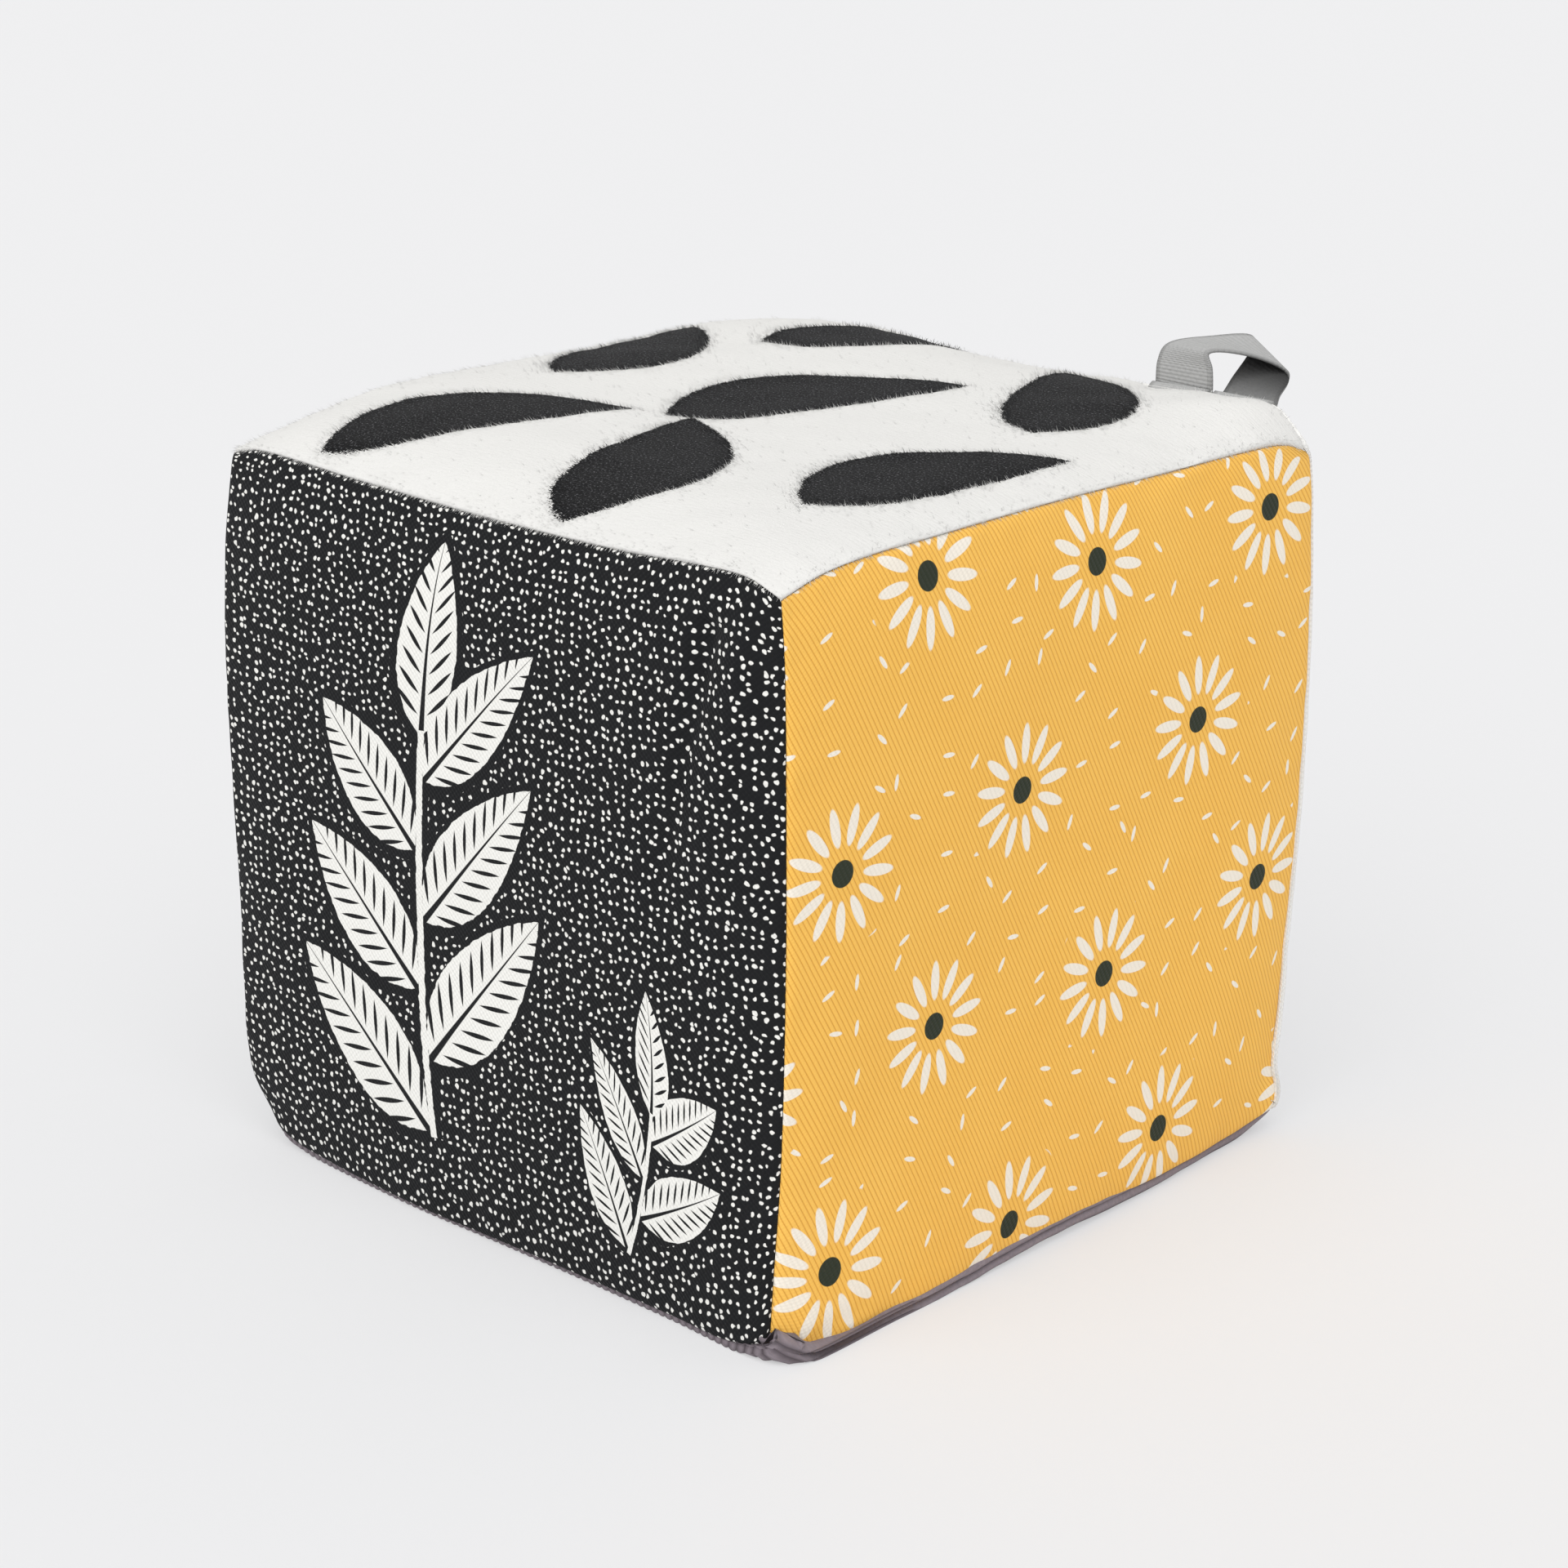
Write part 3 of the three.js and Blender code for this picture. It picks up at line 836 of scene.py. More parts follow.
def black_cotton(tree, place):
    """Plain woven cotton, dyed in the piece and screen printed in white: matt, faintly fuzzy."""
    shape, stroke = linocut(tree, place)
    inside = mask_below(tree, shape, 0.0, INK_EDGE)
    bare = add(tree, "Math", [1.0, stroke], "SUBTRACT")
    leaves = add(tree, "Math", [inside, bare], "MULTIPLY")
    near = mask_below(tree, shape, MARGIN, INK_EDGE)
    free = add(tree, "Math", [1.0, near], "SUBTRACT")
    speckle = add(tree, "Math", [dots(tree, place), free], "MULTIPLY")
    ink = add(tree, "Math", [leaves, speckle], "MAXIMUM")
    worn = add(tree, "TexNoise", {"Vector": place, "Scale": 0.12, "Detail": 3.0})
    ground = add(tree, "Mix", [worn, "#121315", "#1B1C1E"], data_type="RGBA")
    colour = add(tree, "Mix", [ink, ground, "#F1F0EB"], data_type="RGBA")
    weave = plain_weave(tree, place)
    fine = add(tree, "TexNoise", {"Vector": place, "Scale": 2.2, "Detail": 2.0})
    return colour, add(tree, "Math", [fine, 0.9, weave], "MULTIPLY_ADD")


printed_black = fabric("printed_black_cotton", black_cotton, bump=0.06, roughness=0.88, sheen=0.03)
front = show("front_cloth", panel_mesh("front"), printed_black)

# %% [markdown]
# ## The right: printed mustard twill
# In a twill each thread goes over two or three and starts one later in each row, so the cloth
# has slanted ribs, here steep ones about a millimetre apart. It is dyed mustard and printed with
# plain daisies in staggered rows, as on quilting cotton, and with loose dashes between them.

# %% Twill ribs
RIB_SPACING, RIB_SLANT = 0.87, math.radians(62)
CROSSING_SPACING, CROSSING_HEIGHT = 0.55, 0.12


def twill_ribs(tree, place):
    """The height of the slanted ribs, rounded on top, with the threads that cross them."""
    turned = {"Vector": place, "Rotation": (0, 0, RIB_SLANT - math.pi / 2)}
    across, along = add(tree, "SeparateXYZ", [add(tree, "Mapping", turned)]).node.outputs[:2]
    turns = add(tree, "Math", [across, math.pi / RIB_SPACING], "MULTIPLY")
    rib = add(tree, "Math", [add(tree, "Math", [turns], "SINE")], "ABSOLUTE")
    crossing = add(tree, "Math", [along, 2 * math.pi / CROSSING_SPACING], "MULTIPLY")
    crossing = add(tree, "Math", [crossing], "SINE")
    return rib, add(tree, "Math", [crossing, CROSSING_HEIGHT, rib], "MULTIPLY_ADD")


print("ribs on the right: about", round(2 * HALF.y / MM / RIB_SPACING))


# %% Daisies
DAISY_ACROSS, DAISY_UP, DAISY_START, DAISY_WANDER = 42.0, 37.0, 10.0, 4.0
PETALS, ANY_TURN = 13, 6.28
PETAL_MIDDLE, PETAL_HALF_LENGTH, PETAL_HALF_WIDTH, PETAL_EDGE = 8.0, 3.4, 1.0, 0.08
EYE_RADIUS = 2.3


def daisies(tree, place):
    """Petals, dark centres and how far a point is from its daisy's middle."""
    x, y = add(tree, "SeparateXYZ", [place]).node.outputs[:2]
    row, y = cell_of(tree, y, DAISY_UP)
    odd = add(tree, "Math", [row, 2.0], "FLOORED_MODULO")
    x = add(tree, "Math", [x, -DAISY_START], "ADD")
    x = add(tree, "Math", [odd, DAISY_ACROSS / 2, x], "MULTIPLY_ADD")
    column, x = cell_of(tree, x, DAISY_ACROSS)
    cell = add(tree, "CombineXYZ", [column, row, 0.0])
    luck = add(tree, "TexWhiteNoise", {"Vector": cell}, noise_dimensions="2D")
    luck = luck.node.outputs["Color"]
    swing = (-2 * DAISY_WANDER, -2 * DAISY_WANDER, 0)
    middle = (DAISY_WANDER - DAISY_ACROSS / 2, DAISY_WANDER - DAISY_UP / 2, 0)
    moved = add(tree, "VectorMath", [luck, swing, middle], "MULTIPLY_ADD")
    own = add(tree, "CombineXYZ", [x, y, 0.0])
    own = add(tree, "VectorMath", [own, moved], "ADD")
    radius = add(tree, "VectorMath", [own], "LENGTH")
    x, y = add(tree, "SeparateXYZ", [own]).node.outputs[:2]
    angle = add(tree, "Math", [y, x], "ARCTAN2")
    first = add(tree, "SeparateColor", [luck])
    angle = add(tree, "Math", [first, ANY_TURN, angle], "MULTIPLY_ADD")
    sector = add(tree, "Math", [angle, PETALS / (2 * math.pi)], "MULTIPLY")
    sector = add(tree, "Math", [sector], "FRACT")
    sector = add(tree, "Math", [sector, 0.5], "SUBTRACT")
    aside = add(tree, "Math", [sector, radius], "MULTIPLY")
    per_petal = 2 * math.pi / PETALS / PETAL_HALF_WIDTH
    aside = add(tree, "Math", [aside, per_petal], "MULTIPLY")
    outward = add(tree, "Math", [radius, PETAL_MIDDLE], "SUBTRACT")
    outward = add(tree, "Math", [outward, 1 / PETAL_HALF_LENGTH], "MULTIPLY")
    reach = add(tree, "CombineXYZ", [aside, outward, 0.0])
    reach = add(tree, "VectorMath", [reach], "LENGTH")
    petals = mask_below(tree, reach, 1.0, PETAL_EDGE)
    return petals, mask_below(tree, radius, EYE_RADIUS, INK_EDGE), radius


print("daisies on the right: about", round(4 * HALF.y * HALF.z / MM**2 / DAISY_ACROSS / DAISY_UP))


# %% Dashes
DASH_SPACING, DASH_HALF_LENGTH, DASH_HALF_WIDTH, DASH_EDGE = 8.5, 1.35, 0.42, 0.14
DASH_SCATTER, DASH_TURN = 0.75, 2.6


def dashes(tree, place, spacing):
    """Short strokes, each at its own slant, scattered over the cloth."""
    scattered = {"Vector": place, "Scale": 1 / spacing, "Randomness": DASH_SCATTER}
    cells = add(tree, "TexVoronoi", scattered, voronoi_dimensions="2D").node
    own = add(tree, "VectorMath", [place, cells.outputs["Position"]], "SUBTRACT")
    chosen = add(tree, "SeparateColor", [cells.outputs["Color"]])
    slant = add(tree, "Math", [chosen, DASH_TURN], "MULTIPLY")
    own = add(tree, "VectorRotate", {"Vector": own, "Angle": slant}, rotation_type="Z_AXIS")
    size = (1 / DASH_HALF_WIDTH, 1 / DASH_HALF_LENGTH, 0)
    own = add(tree, "VectorMath", [own, size], "MULTIPLY")
    reach = add(tree, "VectorMath", [own], "LENGTH")
    return mask_below(tree, reach, 1.0, DASH_EDGE)


print("dashes on the right: about", round(4 * HALF.y * HALF.z / (DASH_SPACING * MM) ** 2))


# %% Mustard twill with its print
CLEAR_RADIUS, CLEAR_EDGE = 13.5, 0.2
# GROOVE_HEIGHT and GROOVE_EDGE set where the painted shade between the ribs begins, and how soft its edge
# is.
GROOVE_HEIGHT, GROOVE_EDGE = 0.3, 0.28


def mustard_twill(tree, place):
    """Cotton twill: raised slanted ribs catch the light, and painted shade darkens the colour between them.
    """
    rib, height = twill_ribs(tree, place)
    cloudy = add(tree, "TexNoise", {"Vector": place, "Scale": 0.06, "Detail": 3.0})
    light = add(tree, "Mix", [cloudy, "#F8BF57", "#FECA64"], data_type="RGBA")
    # Painted shade: the colour is darker in the grooves between the ribs, where shade falls.
    groove = mask_below(tree, rib, GROOVE_HEIGHT, GROOVE_EDGE)
    dye = add(tree, "Mix", [groove, light, "#E3A342"], data_type="RGBA")
    petals, eye, radius = daisies(tree, place)
    clear = mask_below(tree, radius, CLEAR_RADIUS, CLEAR_EDGE)
    loose = add(tree, "Math", [1.0, clear], "SUBTRACT")
    loose = add(tree, "Math", [dashes(tree, place, DASH_SPACING), loose], "MULTIPLY")
    white = add(tree, "Math", [petals, loose], "MAXIMUM")
    colour = add(tree, "Mix", [white, dye, "#F8F0E2"], data_type="RGBA")
    return add(tree, "Mix", [eye, colour, "#2F3528"], data_type="RGBA"), height


mustard = fabric("printed_mustard_twill", mustard_twill, bump=0.11, roughness=0.85, sheen=0.05)
right = show("right_cloth", panel_mesh("right"), mustard)

# %% [markdown]
# ## The back and the left
# The back is plain white cotton with a loose scatter of dark dashes, and the left is plain grey
# cotton, woven from two greys, so that it looks slightly mottled.

# %% Back and left cloths
BACK_DASH_SPACING = 11.0


def white_cotton(tree, place):
    """White plain weave with dark dashes printed on it."""
    soft = add(tree, "TexNoise", {"Vector": place, "Scale": 0.08, "Detail": 2.0})
    ground = add(tree, "Mix", [soft, "#ECEBE8", "#F5F4F1"], data_type="RGBA")
    ink = dashes(tree, place, BACK_DASH_SPACING)
    colour = add(tree, "Mix", [ink, ground, "#3A3C3E"], data_type="RGBA")
    return colour, plain_weave(tree, place)


def grey_cotton(tree, place):
    """Plain weave of light and dark grey yarn."""
    stretched = add(tree, "Mapping", {"Vector": place, "Scale": (0.25, 2.2, 1.0)})
    yarn = add(tree, "TexNoise", {"Vector": stretched, "Scale": 1.0, "Detail": 3.0})
    colour = add(tree, "Mix", [yarn, "#7E8382", "#A3A8A6"], data_type="RGBA")
    return colour, plain_weave(tree, place)


white = fabric("printed_white_cotton", white_cotton, bump=0.06, roughness=0.9, sheen=0.05)
grey = fabric("mottled_grey_cotton", grey_cotton, bump=0.07, roughness=0.9, sheen=0.05)
back = show("back_cloth", panel_mesh("back"), white)
left = show("left_cloth", panel_mesh("left"), grey)

# %% [markdown]
# ## The bottom: fine corduroy
# Corduroy has raised, brushed cords. They run from front to back here, and show where the cloth
# rolls up to the lower seams. A bump map would leave the edge smooth, so the cords are real relief
# in the mesh: the grid has six lines to a cord. Only the grooves are cut in, so the flat
# underside still rests where the frame's does.

# %% Corduroy
CORD_SPACING, CORD_DEPTH, CORD_SHAPE = 1.7, 0.45 * MM, 0.6
LINES_PER_CORD, LINES_ACROSS = 6, 64


def cords(u, v):
    """Cords across the cloth, rounded on top, with narrow grooves between them."""
    turns = u * HALF.x / MM / CORD_SPACING * math.pi
    return CORD_DEPTH * (1 - abs(math.cos(turns)) ** CORD_SHAPE)


def corduroy(tree, place):
    """Brushed cotton pile: matt, lighter where the fuzz is seen edge on, with painted shade in the grooves.
    """
    x = add(tree, "SeparateXYZ", [place])
    turns = add(tree, "Math", [x, math.pi / CORD_SPACING], "MULTIPLY")
    crest = add(tree, "Math", [add(tree, "Math", [turns], "COSINE")], "ABSOLUTE")
    brushed = add(tree, "Mapping", {"Vector": place, "Scale": (3.0, 1.2, 1.0)})
    fuzz = add(tree, "TexNoise", {"Vector": brushed, "Scale": 1.0, "Detail": 3.0})
    ridge = add(tree, "Mix", [fuzz, "#746B72", "#958B91"], data_type="RGBA")
    # Painted shade: the colour is darker in the grooves between the cords, where shade falls.
    return add(tree, "Mix", [crest, "#524A4F", ridge], data_type="RGBA"), fuzz


lines = int(2 * HALF.x / MM / CORD_SPACING * LINES_PER_CORD)
ribbed = fabric("fine_corduroy", corduroy, bump=0.2, roughness=0.95, sheen=0.25, tint="#D8D0D4")
bottom = show("bottom_cloth", panel_mesh("bottom", (lines, LINES_ACROSS), cords), ribbed)

# %% [markdown]
# ## The top: plush
# Short plush has a knitted back with a dense, even pile, too fine to tell its fibres apart, and
# only the hairs that stand out of it are seen one by one: along the edges of the black shapes,
# where the cloth bends, and over the seams. So the dense pile is the top cloth itself, brushed
# into soft dimples, and the loose hairs are real, some ten thousand slim ones, scattered by
# geometry nodes. Each hair keeps the "cloth" place of its root, so one material colours both.

# %% Black shapes on white plush
DIMPLE_DEPTH, DIMPLE_LENGTH, DIMPLE_FADE = 0.5 * MM, 9 * MM, 3 * MM
# Each shape: its middle across and up, its turn in degrees, its length and half width, its bend.
PATCHES = [
    (-36.0, -36.0, 58.0, 54.0, 11.5, 0.008),
    (10.0, -36.0, 112.0, 52.0, 12.0, -0.008),
    (45.0, -12.0, 78.0, 54.0, 11.0, 0.008),
    (-46.0, 16.0, 104.0, 48.0, 10.5, -0.008),
    (-3.0, 12.0, 64.0, 56.0, 12.5, 0.008),
    (33.0, 42.0, 124.0, 48.0, 11.0, -0.008),
    (-26.0, 52.0, 55.0, 40.0, 9.5, 0.008),
]
FULL_END = 0.7
FRAYED = (1.2, -1.7)
STRAY_FIBRES, FIBRE_EDGE = 2.2, 0.15
# The bright specks on the black fibres are painted glints, standing in for highlights on single hairs.
PAINTED_GLINT_POWER, PAINTED_GLINT_GAIN = 12.0, 60.0
NAP_TURN, NAP_STRETCH, NAP_HEIGHT = 0.9, (0.5, 2.0, 1.0), 2.0


def patches(tree, place):
    """Long bent patches, pointed at both ends, laid over the cloth one by one."""
    nearest = None
    for across, up, turn, length, half_width, bend in PATCHES:
        turned = (0, 0, math.radians(turn))
        laid = {"Vector": place, "Location": (across, up, 0), "Rotation": turned}
        own = add(tree, "Mapping", laid, vector_type="TEXTURE")
        x, y = add(tree, "SeparateXYZ", [own]).node.outputs[:2]
        bow = add(tree, "Math", [x, x], "MULTIPLY")
        y = add(tree, "Math", [bow, bend, y], "MULTIPLY_ADD")
        taper = add(tree, "Math", [x, FULL_END / length, 1.0], "MULTIPLY_ADD")
        y = add(tree, "Math", [y, taper], "MULTIPLY")
        shape = vesica(tree, x, y, length, half_width)
        nearest = shape if nearest is None else add(tree, "Math", [nearest, shape], "MINIMUM")
    return nearest


def pile_of_plush(tree, place):
    """Soft polyester pile: black and white fibres with painted glints, a little lighter where light grazes
    them.
    """
    wander = add(tree, "TexNoise", {"Vector": place, "Scale": 0.35, "Detail": 3.0})
    ragged = add(tree, "Math", [wander, *FRAYED], "MULTIPLY_ADD")
    fibre = add(tree, "TexNoise", {"Vector": place, "Scale": 2.8, "Detail": 2.0})
    ragged = add(tree, "Math", [fibre, STRAY_FIBRES, ragged], "MULTIPLY_ADD")
    edge = add(tree, "Math", [patches(tree, place), ragged], "ADD")
    black = mask_below(tree, edge, 0.0, FIBRE_EDGE)
    # Painted glints: a few bright specks mixed into the colour of the black fibres.
    painted_glints = add(tree, "Math", [fibre, PAINTED_GLINT_POWER], "POWER")
    painted_glints = add(tree, "Math", [painted_glints, PAINTED_GLINT_GAIN], "MULTIPLY")
    dark = add(tree, "Mix", [painted_glints, "#040405", "#737376"], data_type="RGBA")
    pale = add(tree, "Mix", [fibre, "#DDDCD9", "#E9E8E5"], data_type="RGBA")
    colour = add(tree, "Mix", [black, pale, dark], data_type="RGBA")
    nap = {"Vector": place, "Rotation": (0, 0, NAP_TURN), "Scale": NAP_STRETCH}
    brushed = add(tree, "Mapping", nap)
    streaks = add(tree, "TexNoise", {"Vector": brushed, "Scale": 0.9, "Detail": 3.0})
    return colour, add(tree, "Math", [streaks, NAP_HEIGHT, fibre], "MULTIPLY_ADD")


plush = fabric("short_plush", pile_of_plush, bump=0.1, roughness=0.95, sheen=0.03)


def dimples(u, v):
    """How far the brushed pile lies below its highest, away from the seams."""
    place = Vector((u * HALF.x, v * HALF.y, 0))
    dip = DIMPLE_DEPTH * (0.5 - 0.5 * noise.noise(place / DIMPLE_LENGTH))
    return dip * (1 - math.exp(-to_seam(PANELS["top"], u, v) / DIMPLE_FADE))


top = show("top_cloth", panel_mesh("top", relief=dimples), plush)

# %% [markdown]
# The hairs grow out of a copy of the top's outer face. Three more attributes go with it. "lean"
# says which way the pile lies at each point: a general nap, swirls where hands have brushed it,
# and outwards over the seams. "up" is about the way that the face looks, which the hairs are
# shaded by, because light sinks into pile and a hair is as bright as its surroundings. "crowd"
# says where they stand closest: along the seams and the edges of the black shapes.

# %% The ground that the hairs grow from
HAIR_LENGTH, HAIR_RADIUS, HAIR_GAP = 1.0 * MM, 0.05 * MM, 0.24 * MM
NAP = Vector((-0.5, -0.7, 0))
SWIRL, SWIRL_LENGTH, SWIRL_SEED = 0.5, 14 * MM, 1
SPILL, DROOP, SPILL_POWER = 1.3, 0.6, 16
SPARSE, FRINGE = 0.006, 0.8 * MM


def outside_patches(across, up):
    """How far a place lies outside the nearest patch, as the material works it out."""
    gaps = []
    for patch_across, patch_up, turn, length, half_width, bend in PATCHES:
        turned = Matrix.Rotation(-math.radians(turn), 2)
        x, y = turned @ Vector((across - patch_across, up - patch_up))
        wide = (y + bend * x * x) * (1 + FULL_END * x / length)
        radius = arc_radius(length, half_width)
        gaps.append(math.hypot(x, abs(wide) + radius - half_width) - radius)
    return min(gaps) * MM


def pile_ground():
    """The outer face of the top as an open mesh that carries the pile's place, lean and up."""
    noise.seed_set(SWIRL_SEED)  # without it, noise_vector draws its start from the clock
    bm = bmesh.new()
    flat, lean, up = (bm.verts.layers.float_vector.new(name) for name in ("cloth", "lean", "up"))
    crowd = bm.verts.layers.float.new("crowd")
    bmesh.ops.create_grid(bm, x_segments=CELLS, y_segments=CELLS, size=1)
    for vert in bm.verts:
        u, v = spread(vert.co.x), spread(vert.co.y)
        vert.co = cloth_point("top", u, v, dimples(u, v))
        vert[flat] = Vector((u * HALF.x, v * HALF.y, 0)) / MM
        swirl = noise.noise_vector(vert.co / SWIRL_LENGTH) * SWIRL
        spill = Vector([math.copysign(abs(w) ** SPILL_POWER, w) for w in (u, v)] + [0])
        near_seam = math.exp(-to_seam(PANELS["top"], u, v) / FRINGE)
        vert[lean] = (NAP + Vector((swirl.x, swirl.y, 0))) * (1 - near_seam) + spill * SPILL
        vert[lean].z = -DROOP * near_seam
        near_patch = math.exp(-abs(outside_patches(*vert[flat].xy)) / FRINGE)
        vert[crowd] = SPARSE + (1 - SPARSE) * max(near_seam, near_patch)
    bm.normal_update()
    for vert in bm.verts:
        vert[up] = (vert.normal + Vector((0, 0, 1))).normalized()
    return mesh_of(bm, "pile_ground")


def hair_mesh():
    """One hair: a slim three-sided cone."""
    bm = bmesh.new()
    shape = {"segments": 3, "radius1": HAIR_RADIUS, "radius2": 0, "depth": HAIR_LENGTH}
    bmesh.ops.create_cone(bm, cap_ends=True, **shape)
    bmesh.ops.translate(bm, verts=bm.verts, vec=(0, 0, HAIR_LENGTH / 2))
    return mesh_of(bm, "hair")


ground, hair = pile_ground(), hair_mesh()
print("hair faces:", len(hair.polygons))

# %% [markdown]
# Geometry nodes then scatter the hairs at an even spacing, turn each one along the lean of its
# place with a little of its own, and vary their lengths. The result is made a plain mesh, so
# nothing is left to be worked out later.

# %% Scatter the hairs
MOST_HAIRS, OWN_LEAN = 12e6, (0.7, 0.7, 0.7)
LEAST_SIZE, MOST_SIZE = 0.6, 1.15


def scatter(host, hair_piece):
    """Gives a surface the modifier that covers it with hairs."""
    tree = bpy.data.node_groups.new("pile", "GeometryNodeTree")
    for way in ("INPUT", "OUTPUT"):
        tree.interface.new_socket("Geometry", in_out=way, socket_type="NodeSocketGeometry")
    crowd = add(tree, "GeometryNodeInputNamedAttribute", {"Name": "crowd"})
    spaced = {"Mesh": add(tree, "NodeGroupInput"), "Density Factor": crowd, "Seed": 3}
    spaced.update({"Distance Min": HAIR_GAP, "Density Max": MOST_HAIRS})
    kind = "GeometryNodeDistributePointsOnFaces"
    points = add(tree, kind, spaced, distribute_method="POISSON").node.outputs

    named, vector = "GeometryNodeInputNamedAttribute", {"data_type": "FLOAT_VECTOR"}
    lean = add(tree, named, {"Name": "lean"}, **vector)
    own = add(tree, "FunctionNodeRandomValue", [(-1, -1, 0), (1, 1, 0)], **vector)
    leaning = add(tree, "VectorMath", [lean, (1, 1, 1), points["Normal"]], "MULTIPLY_ADD")
    leaning = add(tree, "VectorMath", [own, OWN_LEAN, leaning], "MULTIPLY_ADD")
    turn = add(tree, "FunctionNodeAlignRotationToVector", {"Vector": leaning}, axis="Z")

    sizes = {"Min": LEAST_SIZE, "Max": MOST_SIZE, "Seed": 5}
    size = add(tree, "FunctionNodeRandomValue", sizes, data_type="FLOAT")
    hair = add(tree, "GeometryNodeObjectInfo", {"Object": hair_piece}).node.outputs["Geometry"]
    laid = {"Points": points["Points"], "Instance": hair, "Rotation": turn, "Scale": size}
    placed = add(tree, "GeometryNodeInstanceOnPoints", laid)
    add(tree, "NodeGroupOutput", [add(tree, "GeometryNodeRealizeInstances", [placed])])
    host.modifiers.new("pile", "NODES").node_group = tree


def applied(piece):
    """The piece's mesh with its modifiers worked in."""
    depsgraph = bpy.context.evaluated_depsgraph_get()
    return bpy.data.meshes.new_from_object(piece.evaluated_get(depsgraph))


def grow_pile():
    """The hairs as one plain mesh. The two helper objects go when it is done."""
    host, seed = put("pile_ground", ground), put("hair", hair)
    scatter(host, seed)
    mesh = applied(host)
    mesh.materials.clear()
    mesh.shade_smooth()
    mesh.normals_split_custom_set_from_vertices([v.vector for v in mesh.attributes["up"].data])
    for helper in (host, seed):
        bpy.data.objects.remove(helper)
    return mesh


pile = show("top_pile", grow_pile(), plush)
print("attributes on the pile:", [a.name for a in pile.data.attributes])

# %% [markdown]
# ## The foam
# Inside is a cube of foam. It doesn't show, but it is a real piece and is what the cover takes
# its shape from: crowned faces and bevelled edges, which leave room for the seam allowances.

# %% Foam
FIT = 0.3 * MM
FOAM_CELLS = 24
PORE_SPACING, PORE_RADIUS, PORE_EDGE = 1.2 * MM, 0.3, 0.2
FOAM_BEVEL = 11.7 * MM
FOAM_BEVEL_SHARES = {2: 1 / 2, 3: 2 / 3}


def on_foam(unit):
    """Moves a point of a cube from -1 to 1 onto the foam."""
    flat = 1 - 2 / FOAM_CELLS
    ends = [axis for axis in (X, Y, Z) if end_of(unit[axis])]
    spot = Vector([unit[axis] / flat * (HALF[axis] - FOAM_BEVEL) for axis in (X, Y, Z)])
    if len(ends) == 1:
        facing = (ends[0], end_of(unit[ends[0]]))
        name = next(n for n, p in PANELS.items() if (p["spans"][2], p["sign"]) == facing)
        u, v = (spot[axis] / HALF[axis] for axis in PANELS[name]["spans"][:2])
        depth = PANELS[name]["thick"] * MM + FIT
        depth += DIMPLE_DEPTH if name == "top" else 0
        return cloth_point(name, u, v, depth)
    for axis in ends:
        depth = FOAM_BEVEL * FOAM_BEVEL_SHARES[len(ends)]
        spot[axis] = math.copysign(HALF[axis] - depth, unit[axis])
    return spot + MIDDLE


def foam_mesh():
    bm = bmesh.new()
    bmesh.ops.create_cube(bm, size=2)
    bmesh.ops.subdivide_edges(bm, edges=bm.edges, cuts=FOAM_CELLS - 1, use_grid_fill=True)
    for vert in bm.verts:
        vert.co = on_foam(vert.co)
    return mesh_of(bm, "foam_block", smooth=True)


def cut_foam(tree, place):
    """Polyurethane foam: a pale yellow sponge whose open cells hold painted shade as dark specks."""
    cells = add(tree, "TexVoronoi", {"Vector": place, "Scale": 1 / PORE_SPACING})
    pores = mask_below(tree, cells, PORE_RADIUS, PORE_EDGE)
    # Painted shade: the open cells are coloured darker, where shade falls inside them.
    colour = add(tree, "Mix", [pores, "#E9E2C8", "#B5A981"], data_type="RGBA")
    return colour, add(tree, "Math", [1.0, pores], "SUBTRACT")


sponge = fabric("open_cell_foam", cut_foam, bump=0.3, roughness=1.0, sheen=0.0, flat=False)
foam = show("foam_block", foam_mesh(), sponge)

# %% [markdown]
# ## The tape loop
# One length of woven cotton tape is caught in the seam at the top and back. It rises, folds back
# over the seam, creases and comes home beside its start. Its two edges follow curves of their
# own, because the tape is twisted a little, and the tape is the straight strip between them.

# %% The route of the tape
LOOP = {"start_x": 30.75, "width": 12.5, "step": 14.0, "rise": 9.4, "reach": 17.4, "thick": 0.6}
ROOT, BEND = 0.3, 2.4
LEFT_KNOT_SHARES = [
    (0.01, 0.12, 0.64),
    (0.05, 0.20, 0.91),
    (0.35, 0.62, 1.01),
    (0.65, 0.98, 0.98),
    (0.69, 0.97, 0.84),
    (0.82, 0.52, 0.38),
]
RIGHT_KNOT_SHARES = [
    (-0.01, 0.10, 0.70),
    (-0.08, 0.11, 0.98),
    (0.18, 0.50, 0.89),
    (0.45, 0.86, 0.52),
    (0.50, 0.85, 0.40),
    (0.74, 0.45, 0.26),
]
STEPS_PER_KNOT = 10
SEAM = Vector((0, HALF.y, MIDDLE.z + HALF.z))


def from_seam(x, behind, over):
    """A place given by its X and its distances behind and over the seam, in millimetres."""
    return SEAM + Vector((x, behind, over)) * MM


def tape_edge(start_x, shares):
    """The places that one edge of the tape runs through, from sewn-in end to sewn-in end."""
    depths = [-ALLOWANCE / MM, ROOT, BEND]
    leg = [d / math.sqrt(2) for d in depths]
    end_x = start_x + LOOP["step"]
    knots = [from_seam(start_x, d, d) for d in leg]
    for step, reach, rise in shares:
        x = start_x + step * LOOP["step"]
        knots.append(from_seam(x, reach * LOOP["reach"], rise * LOOP["rise"]))
    knots += [from_seam(end_x, d, d) for d in reversed(leg)]
    for n in (0, 1, -2, -1):
        knots[n] += stray((0, 1, 1), knots[n].x / HALF.x)
    return knots


